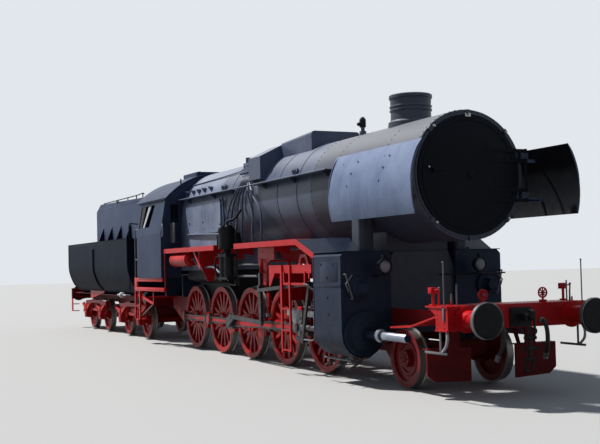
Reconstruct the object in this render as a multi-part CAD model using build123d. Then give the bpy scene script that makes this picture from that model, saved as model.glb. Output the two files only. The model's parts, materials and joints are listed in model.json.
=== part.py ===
from build123d import *
import os
from math import asin, atan2, cos, degrees, pi, radians, sin, sqrt

# Steam locomotive with ten coupled wheels, a leading truck and a bogie tender.
# Millimetres. +X is forward, +Y is the left-hand side, heights are above the rail head.
# Every solid is lifted by the depth of the wheel flanges when it is written.

# Driving dimensions: wheels and running gear
back_to_back = 1360
tyre_width = 140
flange_depth = 28
flange_width = 32
driver_radius = 700
leading_radius = 425
tender_radius = 465
driver_pitch = 1650
driven_x = 3425
leading_ahead = 2600
crank_radius = 330
axle_radius = 95
small_axle_radius = 80
bearing_gap = 5
pin_gap = 2

# Driving dimensions: cylinders and rods
cylinder_y = 1100
cylinder_z = 760
cylinder_front = 8600
cylinder_rear = 7640
cladding_radius = 365
cylinder_top = 2010
piston_rod_radius = 45
main_rod_length = 3225
coupling_rod_y = 925
coupling_rod_depth = 80
rod_pin_radius = 58
main_journal_radius = 72

# Driving dimensions: frame and buffers
frame_y = 600
frame_plate = 40
frame_top = 1130
frame_bottom = 560
frame_rear = -2200
beam_front = 10990
beam_half = 1155
beam_bottom = 920
beam_top = 1240
beam_plate = 60
beam_depth = 290
buffer_face = 11500
buffer_y = 875
buffer_z = 1060
buffer_disc = 240
buffer_sleeve = 118

# Driving dimensions: boiler
boiler_z = 3083
boiler_radius = 955
shell_plate = 16
smokebox_rear = 6560
smokebox_front = 9900
barrel_rear = 2050
door_margin = 75
door_seat = 60
door_plate = 24
chimney_x = 8350
chimney_height = 462
chimney_radius = 400

# Driving dimensions: cab and tender
cab_front = -300
cab_rear = -2270
cab_half = 1500
cab_bottom = 1600
cab_waist = 2640
cab_eave = 3430
cab_eave_half = 1370
cab_sheet = 20
roof_radius = 1848
roof_peak = 4060
tender_pivot_x = -2500
tub_front = -3250
tub_rear = -10200
tub_half = 1475
tub_top = 2610
tub_bottom = 1110
tub_sheet = 12
bunker_half = 900
bunker_top = 3640
tender_axles = [-3775, -5575, -7875, -9675]

# Derived places
wheel_back = back_to_back / 2
wheel_face = wheel_back + tyre_width
coupled_axles = [driven_x + driver_pitch * step for step in (2, 1, 0, -1, -2)]
leading_x = coupled_axles[0] + leading_ahead
truck_pivot_x = coupled_axles[0] + 425
coupling_rod_out = coupling_rod_y + coupling_rod_depth
boss_face = coupling_rod_y - 5
beam_rear = beam_front - beam_plate
frame_in = frame_y - frame_plate
boiler_top = boiler_z + boiler_radius
door_radius = boiler_radius - door_margin
door_opening = door_radius - door_seat
chimney_top = boiler_top + chimney_height

os.makedirs("parts", exist_ok=True)


def write(name, *solids):
    """Writes one node, lifted so that the flanges stand at height zero."""
    lifted = [Pos(0, 0, flange_depth) * piece for solid in solids for piece in solid.solids()]
    shape = lifted[0] if len(lifted) == 1 else Compound(children=lifted)
    export_step(shape, f"parts/{name}.step")


def block(x0, x1, y0, y1, z0, z1):
    return Pos((x0 + x1) / 2, (y0 + y1) / 2, (z0 + z1) / 2) * Box(abs(x1 - x0), abs(y1 - y0), abs(z1 - z0))


def rod_x(x0, x1, y, z, radius):
    return Pos((x0 + x1) / 2, y, z) * Rot(0, 90, 0) * Cylinder(radius, abs(x1 - x0))


def rod_y(x, y0, y1, z, radius):
    return Pos(x, (y0 + y1) / 2, z) * Rot(90, 0, 0) * Cylinder(radius, abs(y1 - y0))


def rod_z(x, y, z0, z1, radius):
    return Pos(x, y, (z0 + z1) / 2) * Cylinder(radius, abs(z1 - z0))


def bar_between(start, end, radius):
    line = Line(start, end)
    return sweep(Plane(origin=start, z_dir=line % 0) * Circle(radius), path=line)


def plate_xz(points, y0, y1):
    """A flat outline seen from the side, between two lateral places."""
    outline = make_face(Polyline(*[(x, y0, z) for x, z in points], close=True))
    return extrude(outline, amount=y1 - y0, dir=(0, 1, 0))


def plate_yz(points, x0, x1):
    """A flat outline seen from the front, between two places along the engine."""
    outline = make_face(Polyline(*[(x0, y, z) for y, z in points], close=True))
    return extrude(outline, amount=x1 - x0, dir=(1, 0, 0))


def plate_xy(points, z0, z1):
    outline = make_face(Polyline(*[(x, y, z0) for x, y in points], close=True))
    return extrude(outline, amount=z1 - z0, dir=(0, 0, 1))


def turned_x(points, y, z):
    """A shape turned about an axis along X, from points of place and radius."""
    outline = make_face(Polyline(*[(x, 0, radius) for x, radius in points], close=True))
    return Pos(0, y, z) * revolve(outline, Axis.X)


def turned_y(points):
    """A shape turned about the Y axis, from points of radius and place."""
    outline = make_face(Polyline(*[(radius, y, 0) for radius, y in points], close=True))
    return revolve(outline, Axis.Y)


def turned_z(points, x, y):
    """A shape turned about an upright axis, from points of radius and height."""
    outline = make_face(Polyline(*[(radius, 0, z) for radius, z in points], close=True))
    return Pos(x, y, 0) * revolve(outline, Axis.Z)


def other_side(solid):
    return mirror(solid, Plane.XZ)


def both_sides(*solids):
    return [copy for solid in solids for copy in (solid, other_side(solid))]


def fused(solids):
    whole = solids[0]
    return whole + solids[1:] if len(solids) > 1 else whole


def bent_pipe(points, radius):
    """A pipe or rod that runs smoothly through the given points."""
    path = Spline(*points)
    return sweep(Plane(origin=path @ 0, z_dir=path % 0) * Circle(radius), path=path)


boiler_shape = rod_x(barrel_rear, smokebox_front, 0, boiler_z, boiler_radius)


# Wheels

def tyre_section(radius, rim_radius):
    """The section of tyre and rim: radius and distance from the back of the wheel."""
    return [
        (rim_radius, 8),
        (radius - 50, 0),
        (radius + flange_depth - 6, 0),
        (radius + flange_depth, 10),
        (radius + flange_depth - 3, 20),
        (radius + 2, flange_width),
        (radius - 4, tyre_width),
        (radius - 55, tyre_width),
        (rim_radius, tyre_width - 12),
    ]


def spoked_wheel(radius, rim_depth, hub_radius, spokes, first_angle=0):
    """A cast wheel on the Y axis, its back at zero, with tapered spokes."""
    rim_radius = radius - rim_depth
    root = spoke_root * radius / driver_radius
    tip = spoke_tip * radius / driver_radius
    spoke = plate_xz(
        [(hub_radius - 12, -root), (rim_radius + 10, -tip), (rim_radius + 10, tip), (hub_radius - 12, root)],
        spoke_back,
        spoke_back + spoke_depth,
    )
    pieces = [turned_y(tyre_section(radius, rim_radius)), rod_y(0, 0, tyre_width + 12, 0, hub_radius)]
    pieces += [Rot(0, first_angle + 360 * k / spokes, 0) * spoke for k in range(spokes)]
    return fused(pieces)


spoke_root = 46
spoke_tip = 27
spoke_back = 42
spoke_depth = 54
rim_depth = 100


def crank_boss(hub_radius, pin_boss_radius, depth):
    """The web that joins the hub and the crank pin's boss, along +X."""
    web = plate_xz(
        [(0, -hub_radius), (crank_radius, -pin_boss_radius), (crank_radius, pin_boss_radius), (0, hub_radius)],
        spoke_back,
        tyre_width + depth,
    )
    boss = rod_y(crank_radius, spoke_back, tyre_width + depth, 0, pin_boss_radius)
    return [web, boss]


def balance_weight(radius, chord, thickness):
    """The crescent cast between the spokes, opposite the crank."""
    rim_radius = radius - rim_depth + 10
    disc = rod_y(0, spoke_back - 12, spoke_back - 12 + thickness, 0, rim_radius)
    keep = block(-radius, -chord, 0, tyre_width, -radius, radius)
    return disc & keep


def driving_wheel(main):
    """A coupled wheel for the left-hand side with its crank pin towards +X."""
    hub_radius = 175 if main else 150
    pin_boss = 150 if main else 115
    chord = 300 if main else 395
    wheel = spoked_wheel(driver_radius, rim_depth, hub_radius, 15)
    pin_length = coupling_rod_out + 3 - wheel_back
    pieces = [wheel] + crank_boss(hub_radius, pin_boss, 26)
    pieces.append(balance_weight(driver_radius, chord, 84))
    pieces.append(rod_y(crank_radius, tyre_width, pin_length, 0, rod_pin_radius))
    pieces.append(rod_y(crank_radius, tyre_width, boss_face - 8 - wheel_back, 0, rod_pin_radius + 22))
    pieces.append(rod_y(crank_radius, pin_length, pin_length + 10, 0, rod_pin_radius + 24))
    return fused(pieces)


def coupled_wheelset(x, main):
    wheel = Pos(0, wheel_back, 0) * driving_wheel(main)
    left = Rot(0, 90, 0) * wheel
    right = Rot(0, 180, 0) * other_side(wheel)
    axle = rod_y(0, -wheel_back - 20, wheel_back + 20, 0, axle_radius)
    return Pos(x, 0, driver_radius) * fused([axle, left, right])


for number, x in enumerate(coupled_axles, start=1):
    write(f"driver_wheelset_{number}", coupled_wheelset(x, number == 3))


def disc_wheel(radius):
    """A solid rolled wheel with a dished, ringed web, its back at zero."""
    rim_radius = radius - disc_rim_depth
    ring = (disc_hub + rim_radius) / 2
    web = turned_y([
        (60, 30), (rim_radius + 5, 66), (rim_radius + 5, 92), (ring + 30, 84), (ring + 18, 100), (ring - 18, 98),
        (ring - 30, 78), (60, 66),
    ])
    hub = rod_y(0, -8, tyre_width + 18, 0, disc_hub)
    return fused([turned_y(tyre_section(radius, rim_radius)), web, hub])


def plain_wheelset(x, radius, axle_half):
    """A carrying wheelset: disc wheels on an axle that may reach outside boxes."""
    wheel = Pos(0, wheel_back, 0) * disc_wheel(radius)
    axle = rod_y(0, -axle_half, axle_half, 0, small_axle_radius)
    return Pos(x, 0, radius) * fused([axle, wheel, other_side(wheel)])


disc_rim_depth = 92
disc_hub = 125
journal_out = 1010

write("leading_wheelset", plain_wheelset(leading_x, leading_radius, wheel_back))
for number, x in enumerate(tender_axles, start=1):
    write(f"tender_wheelset_{number}", plain_wheelset(x, tender_radius, journal_out))


# Side rods and main rods

rod_height = 118
rod_web = 46
flute_depth = 12
eye_radius = 112


def fluted_bar(start, end, y0, y1, height_start, height_end, margin):
    """A rod's shank between two pins, with a long flute in its outer face."""
    (x0, z0), (x1, z1) = start, end
    length = sqrt((x1 - x0) ** 2 + (z1 - z0) ** 2)
    shank = plate_xz(
        [(0, -height_start / 2), (length, -height_end / 2), (length, height_end / 2), (0, height_start / 2)],
        y0,
        y1,
    )
    rib = 24
    flute = plate_xz(
        [
            (margin, rib - height_start / 2),
            (length - margin, rib - height_end / 2),
            (length - margin, height_end / 2 - rib),
            (margin, height_start / 2 - rib),
        ],
        y1 - flute_depth,
        y1 + 1,
    )
    turn = degrees(atan2(z0 - z1, x1 - x0))
    return Pos(x0, 0, z0) * Rot(0, turn, 0) * (shank - flute)


oil_cup = 32
coupling_rod_top = driver_radius + crank_radius + eye_radius + oil_cup


def coupling_rods(pin_dx, pin_dz):
    """The chain of side rods of one side, on the left, with an eye at each pin."""
    pins = [(x + pin_dx, driver_radius + pin_dz) for x in coupled_axles]
    inner = coupling_rod_y + (coupling_rod_depth - rod_web) / 2
    pieces = []
    for front, rear in zip(pins, pins[1:]):
        pieces.append(fluted_bar(rear, front, inner, inner + rod_web, rod_height, rod_height, eye_radius + 60))
    for x, z in pins:
        pieces.append(rod_y(x, coupling_rod_y, coupling_rod_out, z, eye_radius))
        pieces.append(rod_z(x, (coupling_rod_y + coupling_rod_out) / 2, z, z + eye_radius + oil_cup, 26))
    for x, z in pins[1:4]:
        knuckle = x - 260 if x < driven_x else x + 260
        pieces.append(rod_y(knuckle, coupling_rod_y + 6, coupling_rod_out - 6, z, rod_height / 2 + 14))
    rods = fused(pieces)
    for x, z in pins:
        rods -= rod_y(x, coupling_rod_y - 1, coupling_rod_out + 1, z, rod_pin_radius + pin_gap)
    return rods


write("coupling_rods_left", coupling_rods(0, -crank_radius))
write("coupling_rods_right", other_side(coupling_rods(-crank_radius, 0)))

main_rod_in = 1045
main_rod_out = 1155
small_end_radius = 96
crosshead_pin_radius = 50


def crosshead_pin_x(pin_dx, pin_dz):
    """Where the crosshead pin stands when the crank pin is at the given offset."""
    rise = cylinder_z - (driver_radius + pin_dz)
    return driven_x + pin_dx + sqrt(main_rod_length ** 2 - rise ** 2)


left_pin_x = crosshead_pin_x(0, -crank_radius)
right_pin_x = crosshead_pin_x(-crank_radius, 0)
crosshead_back_x = right_pin_x
crosshead_fore_x = right_pin_x + 2 * crank_radius


def main_rod(pin_dx, pin_dz, crank_pin_dx, crank_pin_dz):
    """The connecting rod of the left side with the outer journal and return crank."""
    big = (driven_x + pin_dx, driver_radius + pin_dz)
    small = (crosshead_pin_x(pin_dx, pin_dz), cylinder_z)
    turn = degrees(atan2(big[1] - small[1], small[0] - big[0]))
    shank = fluted_bar(big, small, cylinder_y - 26, cylinder_y + 26, 150, 112, 250)
    strap = block(-175, 165, main_rod_in, main_rod_out, -118, 118)
    strap = fillet(strap.edges().filter_by(Axis.Y), 46)
    strap = Pos(big[0], 0, big[1]) * Rot(0, turn, 0) * strap
    eye = rod_y(small[0], cylinder_y - 40, cylinder_y + 40, small[1], small_end_radius)
    crank_end = (driven_x + crank_pin_dx, driver_radius + crank_pin_dz)
    outward = (main_rod_out + 4, main_rod_out + 48)
    web_length = sqrt((crank_end[0] - big[0]) ** 2 + (crank_end[1] - big[1]) ** 2)
    web = plate_xz([(0, -88), (web_length, -52), (web_length, 52), (0, 88)], *outward)
    web_turn = degrees(atan2(big[1] - crank_end[1], crank_end[0] - big[0]))
    web = Pos(big[0], 0, big[1]) * Rot(0, web_turn, 0) * web
    journal = rod_y(big[0], main_rod_in - 3, main_rod_out + 48, big[1], main_journal_radius)
    cheek = rod_y(big[0], *outward, big[1], 88)
    tip = rod_y(crank_end[0], *outward, crank_end[1], 52)
    rod = fused([shank, strap, eye])
    rod -= rod_y(small[0], cylinder_y - 60, cylinder_y + 60, small[1], crosshead_pin_radius + pin_gap)
    return fused([rod, journal, cheek, web, tip])


write("main_rod_left", main_rod(0, -crank_radius, -150, 0))
write("main_rod_right", other_side(main_rod(-crank_radius, 0, 0, 150)))

slide_bar_bottom = 950
slide_bar_top = 1045
slide_bar_half = 40
slide_gap = 5
slipper_behind = 215
slipper_ahead = 235
crosshead_cheek = 20
crosshead_out = slide_bar_half + slide_gap + crosshead_cheek


def crosshead(pin_x):
    """The crosshead of the left side: fork, pin, slipper round the bar and piston rod."""
    y = cylinder_y
    z = cylinder_z
    bar = slide_bar_half + slide_gap
    outer = crosshead_out
    under = slide_bar_bottom - slide_gap
    over = slide_bar_top + slide_gap
    profile = [
        (pin_x - 120, z - 70),
        (pin_x + 60, z - 95),
        (pin_x + 190, z - 60),
        (pin_x + 190, z + 70),
        (pin_x + slipper_ahead, under - 50),
        (pin_x + slipper_ahead, under),
        (pin_x - slipper_behind, under),
        (pin_x - slipper_behind, under - 50),
        (pin_x - 120, z + 60),
    ]
    body = plate_xz(profile, y - outer, y + outer)
    slot = block(pin_x - 320, pin_x + 118, y - bar + 1, y + bar - 1, z - 140, under - 48)
    body -= slot
    slipper = block(pin_x - slipper_behind, pin_x + slipper_ahead, y - outer, y + outer, under - 40, over + 40)
    slipper -= block(pin_x - 300, pin_x + 300, y - bar, y + bar, under, over)
    pin = rod_y(pin_x, y - outer, y + outer + 24, z, crosshead_pin_radius)
    nut = rod_y(pin_x, y + outer, y + outer + 24, z, crosshead_pin_radius + 22)
    neck = rod_x(pin_x + 180, pin_x + 290, y, z, piston_rod_radius + 32)
    piston_rod = rod_x(pin_x + 180, pin_x + piston_rod_reach, y, z, piston_rod_radius)
    arm = plate_xz(
        [(pin_x + 20, z - 80), (pin_x + 150, z - 80), (pin_x + 170, z - 230), (pin_x + 90, z - 230)],
        y + outer - 22,
        y + outer,
    )
    return fused([body, slipper, pin, nut, neck, piston_rod, arm])


piston_rod_reach = cylinder_rear + 130 - crosshead_back_x

write("crosshead_left", crosshead(left_pin_x))
write("crosshead_right", other_side(crosshead(right_pin_x)))

# Main frame of the engine

front_rise_x = 8760
front_frame_bottom = 905
rear_frame_bottom = 860
rear_taper = 700
stretcher = 30
frame_cross_x = 9980


def frame_plate_outline():
    """The side of one frame plate, from the rear beam along the bottom to the front."""
    points = [(frame_rear, frame_top), (frame_rear, rear_frame_bottom), (frame_rear + rear_taper, frame_bottom)]
    points += [(front_rise_x - 330, frame_bottom), (front_rise_x, front_frame_bottom)]
    points += [(beam_rear, front_frame_bottom + 20)]
    return points + platform_line[::-1]


platform_plate = 22
platform_under = beam_top - platform_plate
platform_rear = beam_front - 520
platform_line = [
    (9640, frame_top), (platform_rear - 70, frame_top), (platform_rear, platform_under), (beam_rear, platform_under)]


horn_half = 130
horn_top = 905


def frame_side():
    plate = plate_xz(frame_plate_outline(), frame_in, frame_y)
    for x in coupled_axles:
        plate -= block(x - horn_half, x + horn_half, frame_in - 5, frame_y + 5, 0, horn_top)
    for front, rear in zip(coupled_axles, coupled_axles[1:]):
        middle = (front + rear) / 2
        hole = block(middle - 300, middle + 300, frame_in - 5, frame_y + 5, 700, 930)
        plate -= fillet(hole.edges().filter_by(Axis.Y), 90)
    return plate


stretcher_x = [(a + b) / 2 for a, b in zip(coupled_axles, coupled_axles[1:])]
stretcher_x += [coupled_axles[-1] - 700, coupled_axles[0] + 660]
frame_pieces = both_sides(frame_side())
for x in stretcher_x:
    frame_pieces.append(block(x - stretcher, x + stretcher, -frame_in, frame_in, frame_bottom + 60, frame_top - 20))
cross_rear, cross_front = frame_cross_x, frame_cross_x + stretcher
frame_pieces.append(block(cross_rear, cross_front, -frame_in, frame_in, front_frame_bottom + 20, frame_top))
drag_box_z = 985
drag_box_gap = 35
drag_box_plate = 30
drag_pin_radius = 45
rear_cross_low = rear_frame_bottom + 5
for low, high in ((drag_box_z + drag_box_gap, frame_top), (rear_cross_low, drag_box_z - drag_box_gap)):
    frame_pieces.append(block(frame_rear, frame_rear + 60, -frame_in, frame_in, low, high))
for low in (drag_box_z + drag_box_gap, drag_box_z - drag_box_gap - drag_box_plate):
    frame_pieces.append(block(tender_pivot_x - 110, frame_rear + 20, -150, 150, low, low + drag_box_plate))
drag_pin_half = drag_box_gap + drag_box_plate
frame_pieces.append(rod_z(tender_pivot_x, 0, drag_box_z - drag_pin_half, drag_box_z + drag_pin_half, drag_pin_radius))

# Pivot bar and pin of the leading truck, between the frame plates
truck_pin_radius = 60
frame_pieces.append(block(truck_pivot_x - 70, truck_pivot_x + 70, -frame_in, frame_in, 640, 700))
frame_pieces.append(rod_z(truck_pivot_x, 0, 420, 640, truck_pin_radius))

# Rail guards under the front of the frame, each a plate on a hanger and a stay
guard_x = 10340
guard_plate = 30
guard_top = 640
guard_bottom = 160
guard_in = 380
guard_out = 1095
guard = plate_yz(
    [(guard_in, guard_top), (guard_out, guard_top), (guard_out, guard_bottom + 120),
     (guard_out - 120, guard_bottom + 25), (guard_in, guard_bottom)],
    guard_x, guard_x + guard_plate,
)
guard_hanger = plate_yz(
    [(frame_in, guard_top - 60), (frame_y + 160, guard_top - 60), (frame_y + 60, front_frame_bottom + 20),
     (frame_in, front_frame_bottom + 20)],
    guard_x, guard_x + guard_plate,
)
guard_flange = block(guard_x - 90, guard_x + guard_plate, guard_in, guard_out, guard_top - 14, guard_top)
guard_stay = plate_xz(
    [(guard_x - 330, front_frame_bottom + 30), (guard_x - 240, front_frame_bottom + 30),
     (guard_x + 10, guard_bottom + 160), (guard_x + 10, guard_bottom + 80)],
    frame_in, frame_in + 25,
)
frame_pieces += both_sides(fused([guard, guard_hanger, guard_flange, guard_stay]))
write("main_frame", fused(frame_pieces))


def axle_box(x, y0, y1, radius, z0, z1):
    box = block(x - horn_half, x + horn_half, y0, y1, z0, z1)
    return box - rod_y(x, y0 - 1, y1 + 1, driver_radius, radius + bearing_gap)


boxes = [axle_box(x, frame_in - 15, frame_y + 25, axle_radius, 575, horn_top) for x in coupled_axles]
write("axleboxes", *both_sides(*boxes))

# Front beam, buffers and draw hook

beam = block(beam_rear, beam_front, -beam_half, beam_half, beam_bottom, beam_top)
end_rear = beam_front - beam_depth
end_plate = 20
flange_out = 15
beam_end = [
    block(end_rear, beam_rear, beam_half - end_plate, beam_half, beam_bottom, beam_top),
    block(end_rear, beam_front, beam_half - 150, beam_half + flange_out, beam_bottom - 12, beam_bottom + 8),
    block(end_rear, beam_rear, frame_y + 20, frame_y + 40, beam_bottom, platform_under),
    plate_xz(
        [(platform_rear + 60, platform_under), (end_rear, platform_under), (end_rear, beam_top - 130)],
        beam_half - end_plate, beam_half,
    ),
]
over_line = [(x, z + platform_plate) for x, z in platform_line]
walkway = plate_xz(platform_line + over_line[::-1], -frame_y, frame_y)
platform = block(platform_rear, beam_front, -beam_half - flange_out, beam_half + flange_out, platform_under, beam_top)

# Low footplates beside the frame, rising to the beam's ends
footplate = 14
foot_edge = 26
foot_line = [(9500, 918), (10030, 948), (end_rear + 10, 1112)]
foot_under = [(x, z - footplate) for x, z in foot_line]
edge_under = [(x, z - foot_edge) for x, z in foot_line]
foot = [
    plate_xz(foot_line + foot_under[::-1], frame_y, beam_half),
    plate_xz(foot_line + edge_under[::-1], beam_half - foot_edge, beam_half),
]
write("front_beam", fused([beam, walkway, platform] + both_sides(fused(beam_end + foot))))


def buffer(face_x, root_x, y):
    """One buffer from its root plate to its round head, facing away from the root."""
    way = 1 if face_x > root_x else -1
    profile = [
        (root_x, 0),
        (root_x, buffer_sleeve + 60),
        (root_x + way * 24, buffer_sleeve + 60),
        (root_x + way * 40, buffer_sleeve + 4),
        (face_x - way * 130, buffer_sleeve),
        (face_x - way * 126, buffer_sleeve - 20),
        (face_x - way * 62, buffer_sleeve - 30),
        (face_x - way * 52, buffer_disc - 6),
        (face_x - way * 12, buffer_disc),
        (face_x, buffer_disc - 40),
        (face_x, 0),
    ]
    return turned_x(profile, y, buffer_z)


write("front_buffers", *[buffer(buffer_face, beam_front, y) for y in (buffer_y, -buffer_y)])


def draw_hook(face_x, way):
    """Guide plate, shank and hook of the screw coupling."""
    plate = block(face_x, face_x + way * 26, -170, 170, buffer_z - 130, buffer_z + 130)
    points = [
        (face_x, buffer_z - 45), (face_x + way * 200, buffer_z - 60), (face_x + way * 290, buffer_z - 10),
        (face_x + way * 300, buffer_z + 85), (face_x + way * 225, buffer_z + 110), (face_x + way * 235, buffer_z + 40),
        (face_x + way * 190, buffer_z + 20), (face_x + way * 130, buffer_z + 50), (face_x, buffer_z + 45),
    ]
    return fused([plate, plate_xz(points, -30, 30)])


write("front_drawgear", draw_hook(beam_front, 1))

# Cylinders with the saddle

gland_radius = 92
cover_plate = 50
chest_neck = 190


def cylinder_section():
    """The flat-sided cladding of one cylinder and its steam chest, seen from the front."""
    outer = cylinder_y + cladding_radius
    start = (frame_y, cylinder_z)
    low = (cylinder_y, cylinder_z - cladding_radius)
    side = (outer, cylinder_z)
    arc = ThreePointArc(
        (0, *low),
        (0, cylinder_y + cladding_radius * cos(pi / 4), cylinder_z - cladding_radius * sin(pi / 4)),
        (0, *side),
    )
    inner = (0, cylinder_y - cladding_radius + 40, cylinder_z - 120)
    edges = [
        Polyline((0, frame_y, cylinder_top), (0, *start), inner, (0, *low)),
        arc,
        Polyline((0, *side), (0, outer, cylinder_top - 60), (0, outer - 60, cylinder_top), (0, frame_y, cylinder_top)),
    ]
    return make_face(edges)


def cylinder():
    body = Pos(cylinder_rear, 0, 0) * extrude(cylinder_section(), amount=cylinder_front - cylinder_rear, dir=(1, 0, 0))
    front_cover = turned_x(
        [(cylinder_front, 0), (cylinder_front, 335), (cylinder_front + 60, 335), (cylinder_front + 75, 250),
         (cylinder_front + 130, 120), (cylinder_front + 130, 0)],
        cylinder_y, cylinder_z,
    )
    rear_cover = turned_x(
        [(cylinder_rear, 0), (cylinder_rear, 320), (cylinder_rear - cover_plate, 320), (cylinder_rear - 50, 150),
         (cylinder_rear - 170, gland_radius), (cylinder_rear - 170, 0)],
        cylinder_y, cylinder_z,
    )
    covers = [front_cover, rear_cover]
    for place, way in ((cylinder_front, 1), (cylinder_rear, -1)):
        covers.append(turned_x(
            [(place, 0), (place, 190), (place + way * 45, 190), (place + way * 60, 110),
             (place + way * chest_neck, 80), (place + way * chest_neck, 0)],
            steam_chest_y, steam_chest_z,
        ))
    covers.append(rod_x(cylinder_front + 100, tail_rod_front, cylinder_y, cylinder_z, 55))
    covers.append(rod_x(cylinder_front + 500, cylinder_front + 550, cylinder_y, cylinder_z, 75))
    covers.append(shoulder())
    bore_end = crosshead_fore_x + piston_rod_reach + 20
    bore = rod_x(cylinder_rear - 200, bore_end, cylinder_y, cylinder_z, piston_rod_radius + pin_gap)
    return fused([body] + covers) - bore


def shoulder():
    """The cover behind the sloping board, above the steam chest."""
    outline = [
        (board_drop_x + 50, board_z - 20), (cylinder_front - 570, board_z - 20),
        (cylinder_front - 155, cylinder_top - 5), (cylinder_rear, cylinder_top - 5),
    ]
    return plate_xz(outline, firebox_half + 10, board_out - 14)


steam_chest_y = 1177
steam_chest_z = 1450
tail_rod_front = 9890
board_z = 2260
board_out = 1450
board_drop_x = 6950
firebox_half = 1000
write("cylinders", *both_sides(cylinder()))

saddle_half = frame_y
saddle_top_z = 2000
saddle = plate_yz(
    [(-saddle_half, frame_top - 400), (saddle_half, frame_top - 400), (saddle_half, saddle_top_z - 250),
     (500, saddle_top_z), (-500, saddle_top_z), (-saddle_half, saddle_top_z - 250)],
    cylinder_rear + 60, cylinder_front - 60,
)
saddle_neck = block(cylinder_rear + 160, cylinder_front - 160, -560, 560, saddle_top_z, boiler_z - 483)
frame_gap = block(cylinder_rear, cylinder_front, frame_in, frame_y + 5, 0, frame_top)
saddle = (saddle + saddle_neck) - boiler_shape
for place in (frame_gap, other_side(frame_gap)):
    saddle -= place

# Steam pipe casings between the cylinders and the smokebox

casing_x = 8230
casing_side = 330
steam_pipe = block(
    casing_x - casing_side / 2, casing_x + casing_side / 2, 740, firebox_half, cylinder_top, boiler_z - 383)
steam_pipe = fillet(steam_pipe.edges().filter_by(Axis.Z), 80) - boiler_shape
write("smokebox_saddle", saddle, *both_sides(steam_pipe))

# Smokebox, door and chimney

smokebox_ring = 24
flue_radius = 320


def smokebox():
    shell = turned_x(
        [
            (smokebox_rear, boiler_radius - shell_plate),
            (smokebox_rear, boiler_radius),
            (smokebox_front, boiler_radius),
            (smokebox_front, door_opening),
            (smokebox_front - smokebox_ring, door_opening),
            (smokebox_front - smokebox_ring, boiler_radius - shell_plate),
        ],
        0, boiler_z,
    )
    return shell - rod_z(chimney_x, 0, boiler_z, chimney_top, flue_radius)


hinge_y = boiler_radius + 45
hinge_x = smokebox_front + 40
hinge_lugs = [boiler_z - 293, boiler_z + 293]
lug_height = 90
lugs = []
for z in hinge_lugs:
    lug = block(smokebox_front, hinge_x + 30, boiler_radius - 60, hinge_y + 30, z - lug_height / 2, z + lug_height / 2)
    lugs.append(lug - rod_z(hinge_x, hinge_y, z - lug_height, z + lug_height, 17))
clamp_angles = [45, 90, 135, 225, 270, 315]
for angle in clamp_angles:
    clamp = block(smokebox_front, smokebox_front + 30, -32, 32, door_radius + 8, boiler_radius)
    lugs.append(Pos(0, 0, boiler_z) * Rot(angle - 90, 0, 0) * clamp)
write("smokebox", fused([smokebox()] + lugs))


def smokebox_door():
    """A dished door with its hinge straps and pin on the left-hand side."""
    face = smokebox_front + 3
    dish = turned_x(
        [
            (face, 0), (face, door_radius), (face + door_plate, door_radius), (face + door_plate + 4, door_radius - 60),
            (face + door_plate + 26, door_radius - 300), (face + door_plate + 34, 0),
        ],
        0, boiler_z,
    )
    pieces = [dish]
    for z in hinge_lugs:
        for offset in (lug_height / 2 + 33, -lug_height / 2 - 33):
            pieces.append(block(face + 4, hinge_x + 20, 300, hinge_y, z + offset - 25, z + offset + 25))
            pieces.append(rod_z(hinge_x, hinge_y, z + offset - 25, z + offset + 25, 28))
    pieces.append(rod_z(hinge_x, hinge_y, hinge_lugs[0] - 110, hinge_lugs[1] + 110, 15))
    pieces.append(rod_x(face, face + door_plate + 60, -630, boiler_z + 60, 30))
    return fused(pieces)


write("smokebox_door", smokebox_door())


def chimney():
    top = chimney_top
    outer = chimney_radius
    body = turned_z(
        [
            (flue_radius, boiler_z + 700), (outer + 130, boiler_z + 700), (outer + 80, boiler_top + 30),
            (outer - 25, boiler_top + 95), (outer - 30, boiler_top + 190), (outer - 12, boiler_top + 200),
            (outer - 12, boiler_top + 230), (outer - 28, boiler_top + 240), (outer - 20, top - 70),
            (outer, top - 60), (outer, top - 12), (outer - 14, top), (flue_radius, top),
        ],
        chimney_x, 0,
    )
    return body - boiler_shape


write("chimney", chimney())

# Boiler barrel with its cladding bands and the firebox

band_width = 55
band_proud = 7
band_x = [2700, 3900, 5100, 5950]
barrel_pieces = [rod_x(barrel_rear, smokebox_rear, 0, boiler_z, boiler_radius)]
barrel_pieces += [rod_x(x, x + band_width, 0, boiler_z, boiler_radius + band_proud) for x in band_x]
barrel = fused(barrel_pieces)
write("boiler_barrel", barrel)

backhead_x = cab_front - 160
firebox_bottom = 1760
firebox_break = boiler_z - 380


def firebox_section(grow, low):
    """Round top and upright sides of the firebox seen from the front."""
    radius = boiler_radius + grow
    half = firebox_half + grow
    arc = ThreePointArc((0, radius, boiler_z), (0, 0, boiler_z + radius), (0, -radius, boiler_z))
    sides = Polyline(
        (0, -radius, boiler_z), (0, -half, firebox_break), (0, -half, low), (0, half, low),
        (0, half, firebox_break), (0, radius, boiler_z),
    )
    return make_face([arc, sides])


def firebox_body(x0, x1, grow, low):
    return Pos(x0, 0, 0) * extrude(firebox_section(grow, low), amount=x1 - x0, dir=(1, 0, 0))


firebox = firebox_body(backhead_x, barrel_rear, 0, firebox_bottom)

# Raised side panel of the firebox, flush with its widest part
panel_rear = 114
panel_front = barrel_rear + 270
panel = block(panel_rear, panel_front, boiler_radius - 60, firebox_half + 12, boiler_z - 520, boiler_z + 170)
panel = fillet(panel.edges().filter_by(Axis.Y), 110) - boiler_shape
write("firebox", fused([firebox] + both_sides(panel)))

ash_pan = plate_yz(
    [(-640, frame_top), (640, frame_top), (640, 1470), (950, 1560), (950, firebox_bottom), (-950, firebox_bottom),
     (-950, 1560), (-640, 1470)],
    0, barrel_rear - 120,
)
write("ash_pan", ash_pan)

# Casing over dome and sand boxes, on the boiler

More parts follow.
